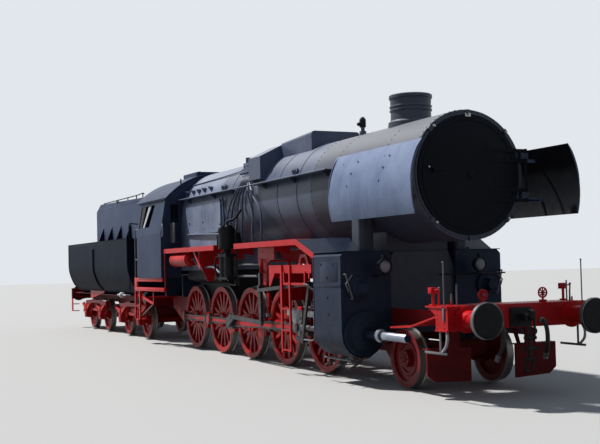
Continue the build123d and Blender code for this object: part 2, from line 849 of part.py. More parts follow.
casing_half = 500
casing_front = 5720
sand_front = 4370
sand_rear = 3790
casing_rear = 3000
casing_base = boiler_z + 517
casing_corner = 70
dome_top = boiler_top + 225
sand_half = boiler_radius - 5


def soft_top(solid):
    """Rounds the long upper corners of one part of the casing."""
    corners = [
        edge for edge in solid.edges()
        if abs(abs(edge.center().Y) - casing_half) < 1 and edge.center().Z > boiler_top and abs((edge % 0.5).X) > 0.9
    ]
    return fillet(corners, casing_corner)


casing_pieces = [
    soft_top(plate_xz(
        [(sand_front, casing_base), (casing_front, casing_base), (casing_front, dome_top), (sand_front, dome_top - 58)],
        -casing_half, casing_half,
    )),
    plate_yz(
        [(-sand_half, casing_base - 100), (sand_half, casing_base - 100), (sand_half, boiler_top - 108),
         (casing_half, boiler_top + 112), (-casing_half, boiler_top + 112), (-sand_half, boiler_top - 108)],
        sand_rear, sand_front,
    ),
    soft_top(plate_xz(
        [(casing_rear, casing_base), (sand_rear, casing_base), (sand_rear, boiler_top + 82), (casing_rear, boiler_top + 37)],
        -casing_half, casing_half,
    )),
]
write("dome_casing", fused(casing_pieces) - barrel)

# Sand pipes that fan out over the boiler's side, from below the valves to the wheels

sand_pipe_radius = 20
sand_tops = [3300, 3390, 3480, 3570, 3660, 3740]
sand_ends = [2620, 2860, 3200, 3500, 4050, 4480]
sand_foot = 2300
pipe_reach = boiler_radius + band_proud + sand_pipe_radius + 16


def sand_pipe(top_x, end_x):
    """One pipe that hugs the boiler's round side and then drops behind the board."""
    reach = pipe_reach
    points = []
    for step, angle in enumerate((23, 13, 2, -10)):
        x = top_x + (end_x - top_x) * step / 3.4
        points.append((x, reach * cos(radians(angle)), boiler_z + reach * sin(radians(angle))))
    points.append((end_x, reach, boiler_z - 400))
    points.append((end_x, reach, sand_foot))
    return bent_pipe(points, sand_pipe_radius)


pipe_pairs = list(zip(sand_tops, sand_ends))
write("sand_pipes", *both_sides(*[sand_pipe(*pair) for pair in pipe_pairs]))

# Boiler fittings: whistle, washout covers and the valve cluster

whistle_x = 6750
whistle = fused([
    rod_z(whistle_x, 0, boiler_top - 40, boiler_top + 90, 60),
    rod_z(whistle_x, 0, boiler_top + 90, boiler_top + 290, 34),
    rod_z(whistle_x, 0, boiler_top + 160, boiler_top + 260, 52),
]) - boiler_shape


def washout(x, angle, radius):
    """A raised cover standing square to the boiler's skin."""
    cover = rod_z(0, 0, boiler_radius - 30, boiler_radius + 45, radius)
    return Pos(x, 0, boiler_z) * Rot(-angle, 0, 0) * cover - rod_x(x - 200, x + 200, 0, boiler_z, boiler_radius)


washouts = [washout(x, 62, 50) for x in (-110, 255, 625, 990, 1410)] + [washout(x, 66, 85) for x in (2297, 5844)]
cluster_low = boiler_z + boiler_radius / 2
cluster_top = boiler_top - 120
cluster_out = boiler_radius * 0.8
valves = [
    block(3060, 3640, casing_half, cluster_out, cluster_low, cluster_top),
    rod_z(3180, cluster_out - 64, cluster_top - 100, cluster_top + 110, 55),
    rod_z(3430, cluster_out - 64, cluster_top - 100, cluster_top + 80, 55),
]
valve_cluster = fused(valves) - barrel - block(casing_rear, sand_rear, 0, casing_half, casing_base - 100, dome_top)
write("boiler_fittings", whistle, *both_sides(*washouts, valve_cluster))

# Narrow foot ledge along the boiler with a rolled edge on triangular brackets

rail_start = cab_front + 5
rail_end = 7420
rail_radius = 14
ledge_z = boiler_z + 307
ledge_in = boiler_radius - 65
ledge_out = boiler_radius + 130
ledge_plate = 12
ledge_pieces = [
    block(rail_start, rail_end, ledge_in, ledge_out, ledge_z - ledge_plate, ledge_z),
    rod_x(rail_start, rail_end, ledge_out, ledge_z - ledge_plate / 2, rail_radius),
]
for x in (232, 1855, 2940, 4598, 5900, 7206):
    ledge_pieces.append(plate_yz(
        [(ledge_in, ledge_z - 6), (ledge_out - 10, ledge_z - 6), (ledge_in, ledge_z - 150)], x, x + 12))
pipe_out = pipe_reach + sand_pipe_radius + 8
ledge = fused(ledge_pieces) - barrel - boiler_shape - firebox
ledge -= block(sand_tops[0] - 320, sand_tops[-1] + 380, ledge_in - 10, pipe_out, ledge_z - 200, ledge_z + 10)
write("handrails", *both_sides(ledge))

# Smoke deflectors with their stays

deflector_rear = 8180
deflector_front = 10620
deflector_low = (1384, 2480)
deflector_mid = (1432, 2900)
deflector_high = (1238, 3495)
deflector_sheet = 14
deflector_stay_x = (8500, 9750)
stay_plate = 14


def deflector():
    arc = ThreePointArc(*[(0, y, z) for y, z in (deflector_low, deflector_mid, deflector_high)])
    back = ThreePointArc(*[(0, y - deflector_sheet, z) for y, z in (deflector_high, deflector_mid, deflector_low)])
    joins = [
        Line((0, *deflector_high), (0, deflector_high[0] - deflector_sheet, deflector_high[1])),
        Line((0, deflector_low[0] - deflector_sheet, deflector_low[1]), (0, *deflector_low)),
    ]
    face = make_face([arc, joins[0], back, joins[1]])
    sheet = Pos(deflector_rear, 0, 0) * extrude(face, amount=deflector_front - deflector_rear, dir=(1, 0, 0))
    pieces = [sheet]
    for x in deflector_stay_x:
        pieces.append(block(x, x + stay_plate, boiler_radius - 100, deflector_mid[0] - 7, 2700, 2760))
        pieces.append(block(x, x + stay_plate, boiler_radius - 100, deflector_high[0] + 90, 3300, 3350))
    return fused(pieces) - boiler_shape


write("smoke_deflectors", *both_sides(deflector()))

# Running boards with their red edge

board_sheet = 12
board_edge = 14
valance = 100
board_rear_end = 3060
board_front_start = 4170
board_in = firebox_half
deep_plate_x = 2126
deep_plate_low = 1526


def running_board():
    under = board_z - board_sheet
    edge_in = board_out - board_edge
    rear = [
        block(cab_front, board_rear_end, board_in, board_out, under, board_z),
        block(cab_front, board_rear_end, edge_in, board_out, board_z - valance, board_z),
    ]
    front = [
        block(board_front_start, board_drop_x, board_in, board_out, under, board_z),
        block(board_front_start, board_drop_x, edge_in, board_out, board_z - valance, board_z),
        plate_xz(
            [(board_drop_x, board_z), (cylinder_rear, cylinder_top), (cylinder_rear, cylinder_top - valance),
             (board_drop_x, board_z - valance)],
            edge_in, board_out,
        ),
        plate_xz(
            [(board_drop_x, board_z), (board_drop_x + 44, board_z - 16), (board_drop_x + 44, board_z - 30),
             (board_drop_x, board_z - 14)],
            board_in, board_out,
        ),
    ]
    for x in (300, 1500, 2700, 4500, 5700, 6800):
        inner = firebox_half + 12 if x < barrel_rear else 430
        stay = plate_yz([(inner, under), (edge_in, under), (inner, under - 200)], x, x + board_edge)
        group = rear if x < board_rear_end else front
        group.append(stay - boiler_shape - barrel)
    rear.append(plate_yz(
        [(430, under), (edge_in, under), (edge_in, under - 300), (1250, deep_plate_low), (1130, deep_plate_low),
         (1000, under - 400), (430, under - 250)],
        deep_plate_x, deep_plate_x + board_edge,
    ) - boiler_shape - barrel)
    brace_low = board_z - 500
    rear.append(plate_xz(
        [(1580, under), (1650, under), (deep_plate_x, brace_low + 80), (deep_plate_x, brace_low)],
        edge_in - 45, edge_in - 30,
    ))
    return [fused(rear), fused(front)]


write("running_boards", *both_sides(*running_board()))

# Air pump and reservoirs

pump_x = 3400
pump_y = 1290
pump_mid = 2080
pump_low = 1600
pump_pitch = 130
pump = [
    rod_z(pump_x, pump_y, pump_mid + 100, pump_mid + 520, 165),
    rod_z(pump_x, pump_y, pump_mid + 440, pump_mid + 480, 178),
    rod_z(pump_x, pump_y, pump_mid + 100, pump_mid + 140, 178),
    rod_z(pump_x, pump_y, pump_mid + 520, pump_mid + 560, 120),
    rod_z(pump_x, pump_y, pump_mid, pump_mid + 100, 80),
    block(pump_x - 250, pump_x + 250, pump_y - 120, pump_y + 120, pump_mid - 60, pump_mid),
    rod_z(pump_x - pump_pitch, pump_y, pump_low, pump_mid - 60, 110),
    rod_z(pump_x + pump_pitch, pump_y, pump_low, pump_mid - 60, 100),
    block(pump_x - 250, pump_x + 250, pump_y - 110, pump_y + 110, pump_low - 30, pump_low + 20),
    block(pump_x - 60, pump_x + 60, boiler_radius + 30, pump_y - 100, pump_mid + 120, pump_mid + 420),
]
for k in range(7):
    rib_z = pump_low + 50 + k * 52
    pump.append(rod_z(pump_x + pump_pitch, pump_y, rib_z, rib_z + 20, 118))
write("air_pump", other_side(fused(pump)))

tank_y = 1300
tank_z = 2000
tank_radius = 145
tank = turned_x(
    [(130, 0), (130, 90), (190, tank_radius), (1200, tank_radius), (1260, 90), (1260, 0)], tank_y, tank_z)
straps = [
    block(x, x + 40, tank_y - tank_radius - 15, tank_y + 20, tank_z, board_z - board_sheet) for x in (330, 1020)]
write("air_reservoirs", *both_sides(fused([tank] + straps)))

# Slide bars and motion brackets

slide_rear = crosshead_back_x - slipper_behind - 225
slide_front = cylinder_rear - cover_plate
slide_bar = block(
    slide_rear, slide_front, cylinder_y - slide_bar_half, cylinder_y + slide_bar_half, slide_bar_bottom, slide_bar_top)
write("slide_bars", *both_sides(slide_bar))

bracket_x = slide_rear - 180
bracket_plate = 40
bracket_top = 1830
bracket_low = 1690
bracket_in = 1180
bracket_out = 1330
bracket_rear = bracket_x - 140
bracket_front = cylinder_rear - 340
rod_room_top = coupling_rod_top + 26
strip_x = bracket_front - 260
strip_z = 1490


def motion_bracket():
    """Long beam outside the rods with the leg that carries the slide bar."""
    strip = (bracket_out - 8, bracket_out + 14)
    middle_x = bracket_rear + 640
    pieces = [
        block(bracket_rear, bracket_front, bracket_in, bracket_out, bracket_low, bracket_top),
        block(bracket_x, bracket_x + bracket_plate, frame_y, bracket_out, 1600, bracket_top),
        block(bracket_x, bracket_x + bracket_plate, frame_y, bracket_in, rod_room_top, 1600),
        block(bracket_x, bracket_x + bracket_plate, cylinder_y - 60, bracket_in, slide_bar_top, rod_room_top),
        block(bracket_x, slide_rear + 60, cylinder_y - 45, cylinder_y + 45, slide_bar_top, slide_bar_top + 60),
        block(bracket_front - 120, bracket_front - 80, frame_y, bracket_out, 1600, bracket_top),
        plate_xz(
            [(bracket_rear, bracket_low), (bracket_rear + 250, bracket_low), (bracket_rear + 50, 1463),
             (bracket_rear, 1463)],
            bracket_out - 22, bracket_out,
        ),
        block(strip_x, strip_x + 36, *strip, strip_z, bracket_low + 30),
        block(middle_x, strip_x, *strip, strip_z, strip_z + 40),
        block(middle_x, middle_x + 36, *strip, strip_z, bracket_low + 30),
    ]
    pedestal = plate_xz(
        [(6750, bracket_top), (6840, bracket_top + 170), (7070, bracket_top + 170), (7171, bracket_top)],
        bracket_out - 60, bracket_out - 20,
    )
    pedestal -= plate_xz(
        [(6830, bracket_top - 5), (6885, bracket_top + 120), (7025, bracket_top + 120), (7090, bracket_top - 5)],
        bracket_out - 70, bracket_out - 10,
    )
    pieces.append(pedestal)
    pieces += bracket_ladder()
    bracket = fused(pieces)
    for x in coupled_axles[:2]:
        bracket -= rod_y(x, wheel_back - 10, wheel_face + 45, driver_radius, driver_radius + 60)
    return bracket


ladder_in = 1326
ladder_out = 1356
ladder_low = 323
ladder_rear_x = 6100


def bracket_ladder():
    """Steps that hang from the beam in front of the rods."""
    front_x = ladder_rear_x + 350
    return [
        block(ladder_rear_x, ladder_rear_x + 60, ladder_in, ladder_out, ladder_low, bracket_top),
        block(front_x, front_x + 50, ladder_in, ladder_out, ladder_low + 37, bracket_top),
    ] + [
        block(ladder_rear_x, front_x + 50, ladder_in - 10, ladder_out, z, z + 25) for z in (ladder_low + 40, 700, 1070)
    ]


# Link bracket, hanging from the running board
link_x = driven_x + 1575
link_z = 1440
link_hanger = link_x - 300
link_bracket = fused([
    plate_xz(
        [(link_hanger, 2160), (link_x + 458, 2160), (link_x + 449, 1935), (link_x + 276, 1929), (link_x + 147, 1872),
         (link_x + 120, 1640), (link_x + 60, link_z - 70), (link_x - 60, link_z - 70), (link_x - 120, 1640),
         (link_hanger, 1900)],
        1150, 1175),
    block(link_hanger, link_x + 120, frame_y, 1175, 1900, 1930),
    block(link_x - 140, link_x - 100, frame_y, frame_y + 40, frame_top, 1900),
])
write("motion_brackets", *both_sides(motion_bracket(), link_bracket))

# Valve gear: link, eccentric rod, radius rod and combination lever, each with its own pins

gear_in = 1240
gear_out = 1275
eccentric_length = 1576
link_foot = 782
lever_top_x = cylinder_rear - 580
lever_low_z = 560


def gear_link(foot_x):
    """The slotted link swung so that its foot meets the eccentric rod."""
    drop = link_z - link_foot
    radius = 1500
    half = 250
    outer = Pos(-radius + 38, 0, 0) * rod_y(0, gear_in - 10, gear_out + 10, 0, radius)
    inner = Pos(-radius - 38, 0, 0) * rod_y(0, gear_in - 10, gear_out + 10, 0, radius)
    arch = (outer - inner) & block(-200, 200, gear_in - 10, gear_out + 10, -half, half)
    foot = plate_xz([(-45, 60 - half), (45, 60 - half), (30, -drop), (-30, -drop)], gear_in - 10, gear_out + 10)
    eye = rod_y(0, gear_in - 10, gear_out + 10, -drop, 46)
    trunnion = rod_y(0, gear_in - 60, gear_out + 40, 0, 40)
    swing = degrees(asin((foot_x - link_x) / drop))
    return Pos(link_x, 0, link_z) * Rot(0, -swing, 0) * fused([arch, foot, eye, trunnion])


def flat_link(start, end, height, radius, y0, y1):
    """A flat rod with round ends between two pins."""
    (x0, z0), (x1, z1) = start, end
    length = sqrt((x1 - x0) ** 2 + (z1 - z0) ** 2)
    bar = block(0, length, y0, y1, -height / 2, height / 2)
    bar = fused([bar, rod_y(0, y0, y1, 0, radius), rod_y(length, y0, y1, 0, radius)])
    return Pos(x0, 0, z0) * Rot(0, degrees(atan2(z0 - z1, x1 - x0)), 0) * bar


def valve_gear(return_dx, return_dz, pin_x):
    tip = (driven_x + return_dx, driver_radius + return_dz)
    foot_x = tip[0] + sqrt(eccentric_length ** 2 - (tip[1] - link_foot) ** 2)
    swing = asin((foot_x - link_x) / (link_z - link_foot))
    real_foot = (foot_x, link_z - (link_z - link_foot) * cos(swing))
    eccentric = flat_link(tip, real_foot, 78, 62, gear_in, gear_out)
    link = gear_link(foot_x)
    lever_foot = (pin_x + 430, lever_low_z)
    lever_top = (lever_top_x, steam_chest_z + 60)
    lever = flat_link(lever_foot, lever_top, 70, 48, gear_in, gear_out)
    union = flat_link((pin_x + 125, lever_low_z + 20), lever_foot, 50, 40, union_in, union_out)
    union_pin = rod_y(lever_foot[0], union_in, gear_out, lever_foot[1], 20)
    radius_rod = flat_link((link_x, link_z - 60), lever_top, 62, 44, gear_out + 1, gear_out + 40)
    radius_pin = rod_y(lever_top[0], gear_in, gear_out + 40, lever_top[1], 20)
    spindle = rod_x(lever_top_x - 20, cylinder_rear - chest_neck, steam_chest_y, steam_chest_z, 32)
    guide = block(
        lever_top_x - 60, lever_top_x + 60, steam_chest_y - 50, gear_in, steam_chest_z - 50, steam_chest_z + 95)
    return fused([eccentric, link, lever, union, union_pin, radius_rod, radius_pin, spindle, guide])


union_in = cylinder_y + crosshead_out + 20
union_out = union_in + 40
write("valve_gear", valve_gear(-150, 0, left_pin_x), other_side(valve_gear(0, 150, right_pin_x)))

# Leading truck

truck_half = 400
truck_plate = 36
truck_top = 640
truck_low = 380


def leading_truck():
    side = plate_xz(
        [(truck_pivot_x - 60, 440), (truck_pivot_x - 60, 560), (leading_x - 420, 560), (leading_x - 260, truck_top),
         (leading_x + 260, truck_top), (leading_x + 260, 420), (leading_x - 260, truck_low), (leading_x - 500, 440)],
        truck_half, truck_half + truck_plate,
    )
    arms = both_sides(side)
    cross = [
        block(truck_pivot_x - 60, truck_pivot_x + 60, -truck_half, truck_half, 440, 560),
        block(leading_x - 330, leading_x - 290, -truck_half, truck_half, 440, 560),
        block(leading_x + 220, leading_x + 260, -truck_half, truck_half, 460, truck_top),
        rod_z(truck_pivot_x, 0, 430, 600, 120),
    ]
    box = block(leading_x - 120, leading_x + 120, truck_half + truck_plate, truck_half + 180, 320, 560)
    body = fused(arms + cross + both_sides(box))
    body -= rod_y(leading_x, -700, 700, leading_radius, small_axle_radius + bearing_gap)
    return body - rod_z(truck_pivot_x, 0, 400, 700, truck_pin_radius + pin_gap)


write("leading_truck", leading_truck())

# Brake gear and headlamps

brake_shoes = []
for x in coupled_axles:
    shoe = rod_y(x, wheel_back + 45, wheel_face - 5, driver_radius, driver_radius + 62)
    shoe -= rod_y(x, wheel_back, wheel_face, driver_radius, driver_radius + 12)
    shoe = shoe & block(x + 600, x + 800, wheel_back, wheel_face, 480, 820)
    hanger = plate_xz(
        [(x + 735, 650), (x + 775, 650), (x + 800, 1090), (x + 760, 1090)], wheel_back + 60, wheel_face - 50)
    stem = rod_y(x + 775, frame_y, wheel_face - 50, 1080, 24)
    brake_shoes.append(fused([shoe, hanger, stem]))
write("brake_gear", *both_sides(*brake_shoes[1:]))

lamp_x = 8880
lamp_y = 865
lamp_z = 1776


def headlamp():
    body = turned_x(
        [(lamp_x - 130, 0), (lamp_x - 130, 60), (lamp_x - 60, 105), (lamp_x, 120), (lamp_x + 40, 120),
         (lamp_x + 40, 98), (lamp_x + 12, 92), (lamp_x + 12, 0)],
        lamp_y, lamp_z,
    )
    foot = block(lamp_x - 50, lamp_x, lamp_y - 25, lamp_y + 25, lamp_z - 136, lamp_z - 90)
    step = block(cylinder_front, lamp_x + 20, lamp_y - 60, lamp_y + 60, lamp_z - 152, lamp_z - 136)
    return fused([body, foot, step])


write("headlamps", *both_sides(headlamp()))

# Cab

cab_floor_z = 1640
roof_sheet = 18
roof_rear = -2420
window_rear = cab_rear + 65
window_low = 2775
window_high = 3370
window_front_low = -1286
window_front_high = -985


def cab_side():
    """One side sheet, upright to the waist and leaning in above it, with its window."""
    profile = [
        (cab_half - cab_sheet, cab_bottom), (cab_half, cab_bottom), (cab_half, cab_waist),
        (cab_eave_half, cab_eave), (cab_eave_half - cab_sheet, cab_eave), (cab_half - cab_sheet, cab_waist),
    ]
    sheet = plate_yz(profile, cab_rear, cab_front)
    window = plate_xz(
        [(window_rear, window_low), (window_front_low, window_low), (window_front_high, window_high),
         (window_rear, window_high)],
        cab_eave_half - 60, cab_half + 10,
    )
    return sheet - fillet(window.edges().filter_by(Axis.Y), 40)


write("cab_sides", *both_sides(cab_side()))

eave_in = cab_eave_half - cab_sheet


def cab_wall(x0, x1):
    """A cross wall that fills the cab's section under the roof."""
    inner = cab_half - cab_sheet
    sides = Polyline(
        (0, -eave_in, cab_eave), (0, -inner, cab_waist), (0, -inner, cab_bottom),
        (0, inner, cab_bottom), (0, inner, cab_waist), (0, eave_in, cab_eave),
    )
    arc = ThreePointArc((0, eave_in, cab_eave), (0, 0, roof_peak - roof_sheet), (0, -eave_in, cab_eave))
    return Pos(x0, 0, 0) * extrude(make_face([arc, sides]), amount=x1 - x0, dir=(1, 0, 0))


firebox_room = firebox_body(backhead_x - 5, barrel_rear, 0, 0)
front_wall = cab_wall(cab_front - cab_sheet, cab_front) - firebox_room
spectacle = block(cab_front - 60, cab_front + 10, 1060, 1250, cab_waist + 220, cab_eave - 130)
front_wall -= spectacle
front_wall -= other_side(spectacle)
write("cab_front", *front_wall.solids())

rear_wall = cab_wall(cab_rear, cab_rear + cab_sheet)
doorway = block(cab_rear - 10, cab_rear + 40, -620, 620, cab_floor_z, 3700)
rear_opening = fillet(doorway.edges().filter_by(Axis.X), 80)
rear_wall -= rear_opening
write("cab_rear", rear_wall)


def cab_roof():
    """The arched roof sheet with a shallow vent box, resting on the walls."""
    eave_out = cab_eave_half + 40
    eave_low = cab_eave - 20
    outer = ThreePointArc((0, eave_out, eave_low), (0, 0, roof_peak), (0, -eave_out, eave_low))
    face = make_face([outer, Line(outer @ 1, outer @ 0)])
    arch = Pos(roof_rear, 0, 0) * extrude(face, amount=cab_front + 50 - roof_rear, dir=(1, 0, 0))
    under = ThreePointArc((0, eave_in, cab_eave), (0, 0, roof_peak - roof_sheet), (0, -eave_in, cab_eave))
    floor_line = Polyline(under @ 1, (0, -eave_in, cab_waist), (0, eave_in, cab_waist), under @ 0)
    room = make_face([under, floor_line])
    arch -= Pos(roof_rear - 10, 0, 0) * extrude(room, amount=cab_front + 100 - roof_rear, dir=(1, 0, 0))
    side_room = plate_yz(
        [(cab_half + 60, cab_waist), (cab_half, cab_waist), (cab_eave_half, cab_eave), (cab_eave_half - 60, cab_eave),
         (cab_eave_half - 60, cab_waist)],
        cab_rear, cab_front,
    )
    for side in both_sides(side_room):
        arch -= side
    vent = block(cab_rear + 500, cab_front - 500, -420, 420, roof_peak - 100, roof_peak + 55)
    vent -= Pos(roof_rear - 10, 0, 0) * extrude(face, amount=cab_front + 100 - roof_rear, dir=(1, 0, 0))
    return fused([arch, vent])


write("cab_roof", cab_roof())

cab_in = cab_half - cab_sheet
floor_plate = block(
    cab_rear + cab_sheet, cab_front - cab_sheet, -cab_in, cab_in, cab_floor_z - cab_sheet, cab_floor_z)
floor_plate -= firebox_room
bearer_top = cab_floor_z - cab_sheet
bearer_half = frame_y + 200
bearer_x = (frame_rear, cab_front - 600)
bearers = [block(x, x + 60, -bearer_half, bearer_half, frame_top, bearer_top) for x in bearer_x]
cab_floor = fused([floor_plate] + bearers)

seat_x = cab_front - 750
seat_y = cab_half - 320
seat_z = cab_floor_z + 420
seat_pieces = [
    block(seat_x - 200, seat_x + 200, seat_y - 200, seat_y + 200, seat_z, seat_z + 50),
    rod_z(seat_x, seat_y, cab_floor_z, seat_z, 40),
]
write("cab_floor", fused([cab_floor] + both_sides(fused(seat_pieces))))

step_bar_z = 1255
step_in = cab_half - 60
step_out = cab_half - 20
step_low = 500
stile_x = (cab_rear + 60, cab_rear + 460)
step_pieces = [
    block(cab_rear, cab_front + 180, step_in, step_out, cab_bottom - 95, cab_bottom),
    block(cab_rear, cab_front + 180, step_in - 30, step_out, step_bar_z - 45, step_bar_z + 45),
    block(cab_front - 180, cab_front - 120, step_in, step_out, step_bar_z, cab_bottom - 90),
    block(cab_rear + 100, cab_rear + 160, frame_y, step_in, frame_top - 50, frame_top),
    block(cab_rear + 100, cab_rear + 160, step_in - 30, step_in, frame_top - 50, step_bar_z),
    plate_xz([(-2150, 1085), (-2150, 1145), (-1140, 1010), (-1140, 950)], step_in - 20, step_in),
    block(-1180, -1140, step_in - 20, step_in, 950, step_bar_z),
]
for x in stile_x:
    step_pieces.append(block(x, x + 60, step_in, step_out, step_low, cab_bottom - 90))
for z in (step_low, step_low + 360):
    step_pieces.append(block(stile_x[0], stile_x[1] + 60, step_in - 200, step_out, z, z + 20))
write("cab_steps", *both_sides(fused(step_pieces)))

# Tender frame, tank and coal bunker

tender_frame_top = 1090
tender_frame_front = -2760
tender_beam_y = 540
tender_rear_beam = -10860
tender_beam_half = 1250
deck_half = 1150
centre_x = [(tender_axles[0] + tender_axles[1]) / 2, (tender_axles[2] + tender_axles[3]) / 2]
bogie_top = 900
centre_plate_z = 780
frame_side_low = 850
bolster_low = 930


def tender_frame():
    """Two long side plates with bolsters, cross plates, deck and drawbar."""
    plate_in, plate_out = tender_beam_y - 15, tender_beam_y + 15
    drawbar = drag_box_gap - 5
    bar_low, bar_high = drag_box_z - drawbar, drag_box_z + drawbar
    pieces = both_sides(
        block(tender_rear_beam, tender_frame_front, plate_in, plate_out, frame_side_low, tender_frame_top))
    pieces.append(block(
        tender_frame_front - 60, tender_frame_front, -deck_half, deck_half, frame_side_low, tender_frame_top + 20))
    rear_front = tender_rear_beam + beam_plate
    pieces.append(block(
        tender_rear_beam, rear_front, -tender_beam_half, tender_beam_half, beam_bottom - 20, beam_top))
    for x in centre_x:
        pieces.append(block(x - 230, x + 230, -tender_beam_y, tender_beam_y, bolster_low, tender_frame_top))
        pieces.append(rod_z(x, 0, centre_plate_z + 5, bolster_low, 190))
        pieces.append(rod_z(x, 0, 560, centre_plate_z + 5, centre_pin_radius))
    for x in (tender_frame_front - 290, sum(centre_x) / 2, tender_rear_beam + 460):
        pieces.append(block(x - 20, x + 20, -tender_beam_y, tender_beam_y, frame_side_low + 20, tender_frame_top))
    pieces.append(block(rear_front, tender_frame_front, -deck_half, deck_half, tender_frame_top, tub_bottom))
    pieces.append(block(tender_pivot_x, tender_frame_front, -60, 60, bar_low, bar_high))
    pieces.append(rod_z(tender_pivot_x, 0, bar_low, bar_high, 105))
    return fused(pieces) - rod_z(tender_pivot_x, 0, bar_low - 10, bar_high + 10, drag_pin_radius + pin_gap)


centre_pin_radius = 50
write("tender_frame", tender_frame())


def tub_section():
    """The trough section of the tank: flat sides drawn in to a rounded bottom."""
    flat_low = tub_top - 630
    knee = (0, tub_half - 290, tub_bottom + 130)
    low_half = tub_half - 455
    left = [
        Line((0, tub_half, tub_top), (0, tub_half, flat_low)),
        ThreePointArc((0, tub_half, flat_low), (0, tub_half - 75, flat_low - 400), knee),
        Line(knee, (0, low_half, tub_bottom)),
    ]
    right = [edge.mirror(Plane.XZ) for edge in left]
    top = Line((0, tub_half, tub_top), (0, -tub_half, tub_top))
    low = Line((0, low_half, tub_bottom), (0, -low_half, tub_bottom))
    return make_face(left + right + [top, low])


gusset_x = [-4872 - 1000 * step for step in range(4)]
gusset_out = 1090
gusset_top = tub_top + 485


def tender_tank():
    """The tank with the gussets that stiffen the bunker's sides."""
    tub = Pos(tub_rear, 0, 0) * extrude(tub_section(), amount=tub_front - tub_rear, dir=(1, 0, 0))
    gussets = []
    for x in gusset_x:
        gussets += both_sides(plate_yz(
            [(bunker_half, tub_top), (gusset_out, tub_top), (bunker_half, gusset_top)], x, x + 14))
    return [tub] + gussets


bunker_front = -3950
bunker_rear = -8150
bunker_foot_rear = -8700
bunker_sheet = 12


def coal_bunker():
    """The open bunker on the tank: upright sides and a back that slopes down."""
    side = [(bunker_front, tub_top), (bunker_front, bunker_top), (bunker_rear, bunker_top), (bunker_foot_rear, tub_top)]
    outer = plate_xz(side, -bunker_half, bunker_half)
    sheet = bunker_sheet
    room = [
        (bunker_front - sheet, tub_top + sheet), (bunker_front - sheet, bunker_top + 10),
        (bunker_rear + sheet, bunker_top + 10), (bunker_foot_rear + 2 * sheet, tub_top + sheet),
    ]
    shell = outer - plate_xz(room, sheet - bunker_half, bunker_half - sheet)
    gate = block(bunker_front - sheet - 2, bunker_front + 2, -350, 350, tub_top + 40, tub_top + 560)
    return shell - gate


write("coal_bunker", coal_bunker())

rear_buffers = [buffer(-buffer_face, tender_rear_beam, y) for y in (buffer_y, -buffer_y)]
write("tender_drawgear", *rear_buffers, draw_hook(tender_rear_beam, -1))

rail_top = bunker_top + 160
tender_rails = []
for x in (bunker_front - 400, -5200, -6400, bunker_rear + 300):
    tender_rails.append(rod_z(x, bunker_half - 6, bunker_top, rail_top, 14))
tender_rails.append(rod_x(bunker_rear + 300, bunker_front - 400, bunker_half - 6, rail_top, 14))
ladder = [block(tub_rear - 60, tub_rear - 40, y, y + 30, tub_bottom, tub_top + 300) for y in (350, 770)]
ladder += [rod_y(tub_rear - 50, 360, 790, z, 12) for z in range(1400, 2800, 280)]
ladder += [block(tub_rear - 60, tub_rear, y, y + 30, z, z + 30) for y in (350, 770) for z in (1500, 2400)]
write("tender_fittings", *both_sides(fused(tender_rails)), fused(ladder))

hatch_x = -9450
hatch_half = 300
hatch_side = 380
hatch_wall = 15
hatch_hinge_x = hatch_x - hatch_half - 30
hatch_z = tub_top + 150
hinge_z = hatch_z + 6
hinge_ear = 22
hinge_pin = 9
ear_y = (-260, 230)
ear_width = 30
collar = block(hatch_x - hatch_half, hatch_x + hatch_half, -hatch_side, hatch_side, tub_top, hatch_z)
well_half = hatch_half - hatch_wall
well_side = hatch_side - hatch_wall
collar -= block(hatch_x - well_half, hatch_x + well_half, -well_side, well_side, tub_top + 10, hatch_z + 5)
hinge_ears = [rod_y(hatch_hinge_x, y, y + ear_width, hinge_z, hinge_ear) for y in ear_y]
hinge_ears += [
    block(hatch_hinge_x - 18, hatch_x - hatch_half, y, y + ear_width, hatch_z - 60, hatch_z - 2) for y in ear_y]
collar = fused([collar] + hinge_ears)
collar -= rod_y(hatch_hinge_x, -300, 300, hinge_z, hinge_pin + 1)
write("tender_tank", *tender_tank(), collar)

lid_low = hatch_z + 3
lid_high = hatch_z + 18
lid_half = hatch_half + 18
lid_side = hatch_side + 18
eye_y = (-225, 185)
lid_pin = rod_y(hatch_hinge_x, -255, 255, hinge_z, hinge_pin)
lid_pieces = [block(hatch_x - lid_half, hatch_x + lid_half, -lid_side, lid_side, lid_low, lid_high), lid_pin]
lid_pieces += [block(hatch_hinge_x, hatch_x - hatch_half, y, y + 40, lid_low, lid_high) for y in eye_y]
lid_pieces += [rod_y(hatch_hinge_x, y, y + 40, hinge_z, hinge_pin + 5) for y in eye_y]
lid = fused(lid_pieces)
for y in ear_y:
    ear_room = block(
        hatch_hinge_x - 40, hatch_x - hatch_half + 12, y - 5, y + ear_width + 5, hatch_z - 60, hatch_z + 40)
    lid -= ear_room - lid_pin
write("tank_hatch_lid", lid)

# Tender bogies

bogie_in = 930
bogie_plate = 50
bogie_end = 1260
bogie_journal_half = 130


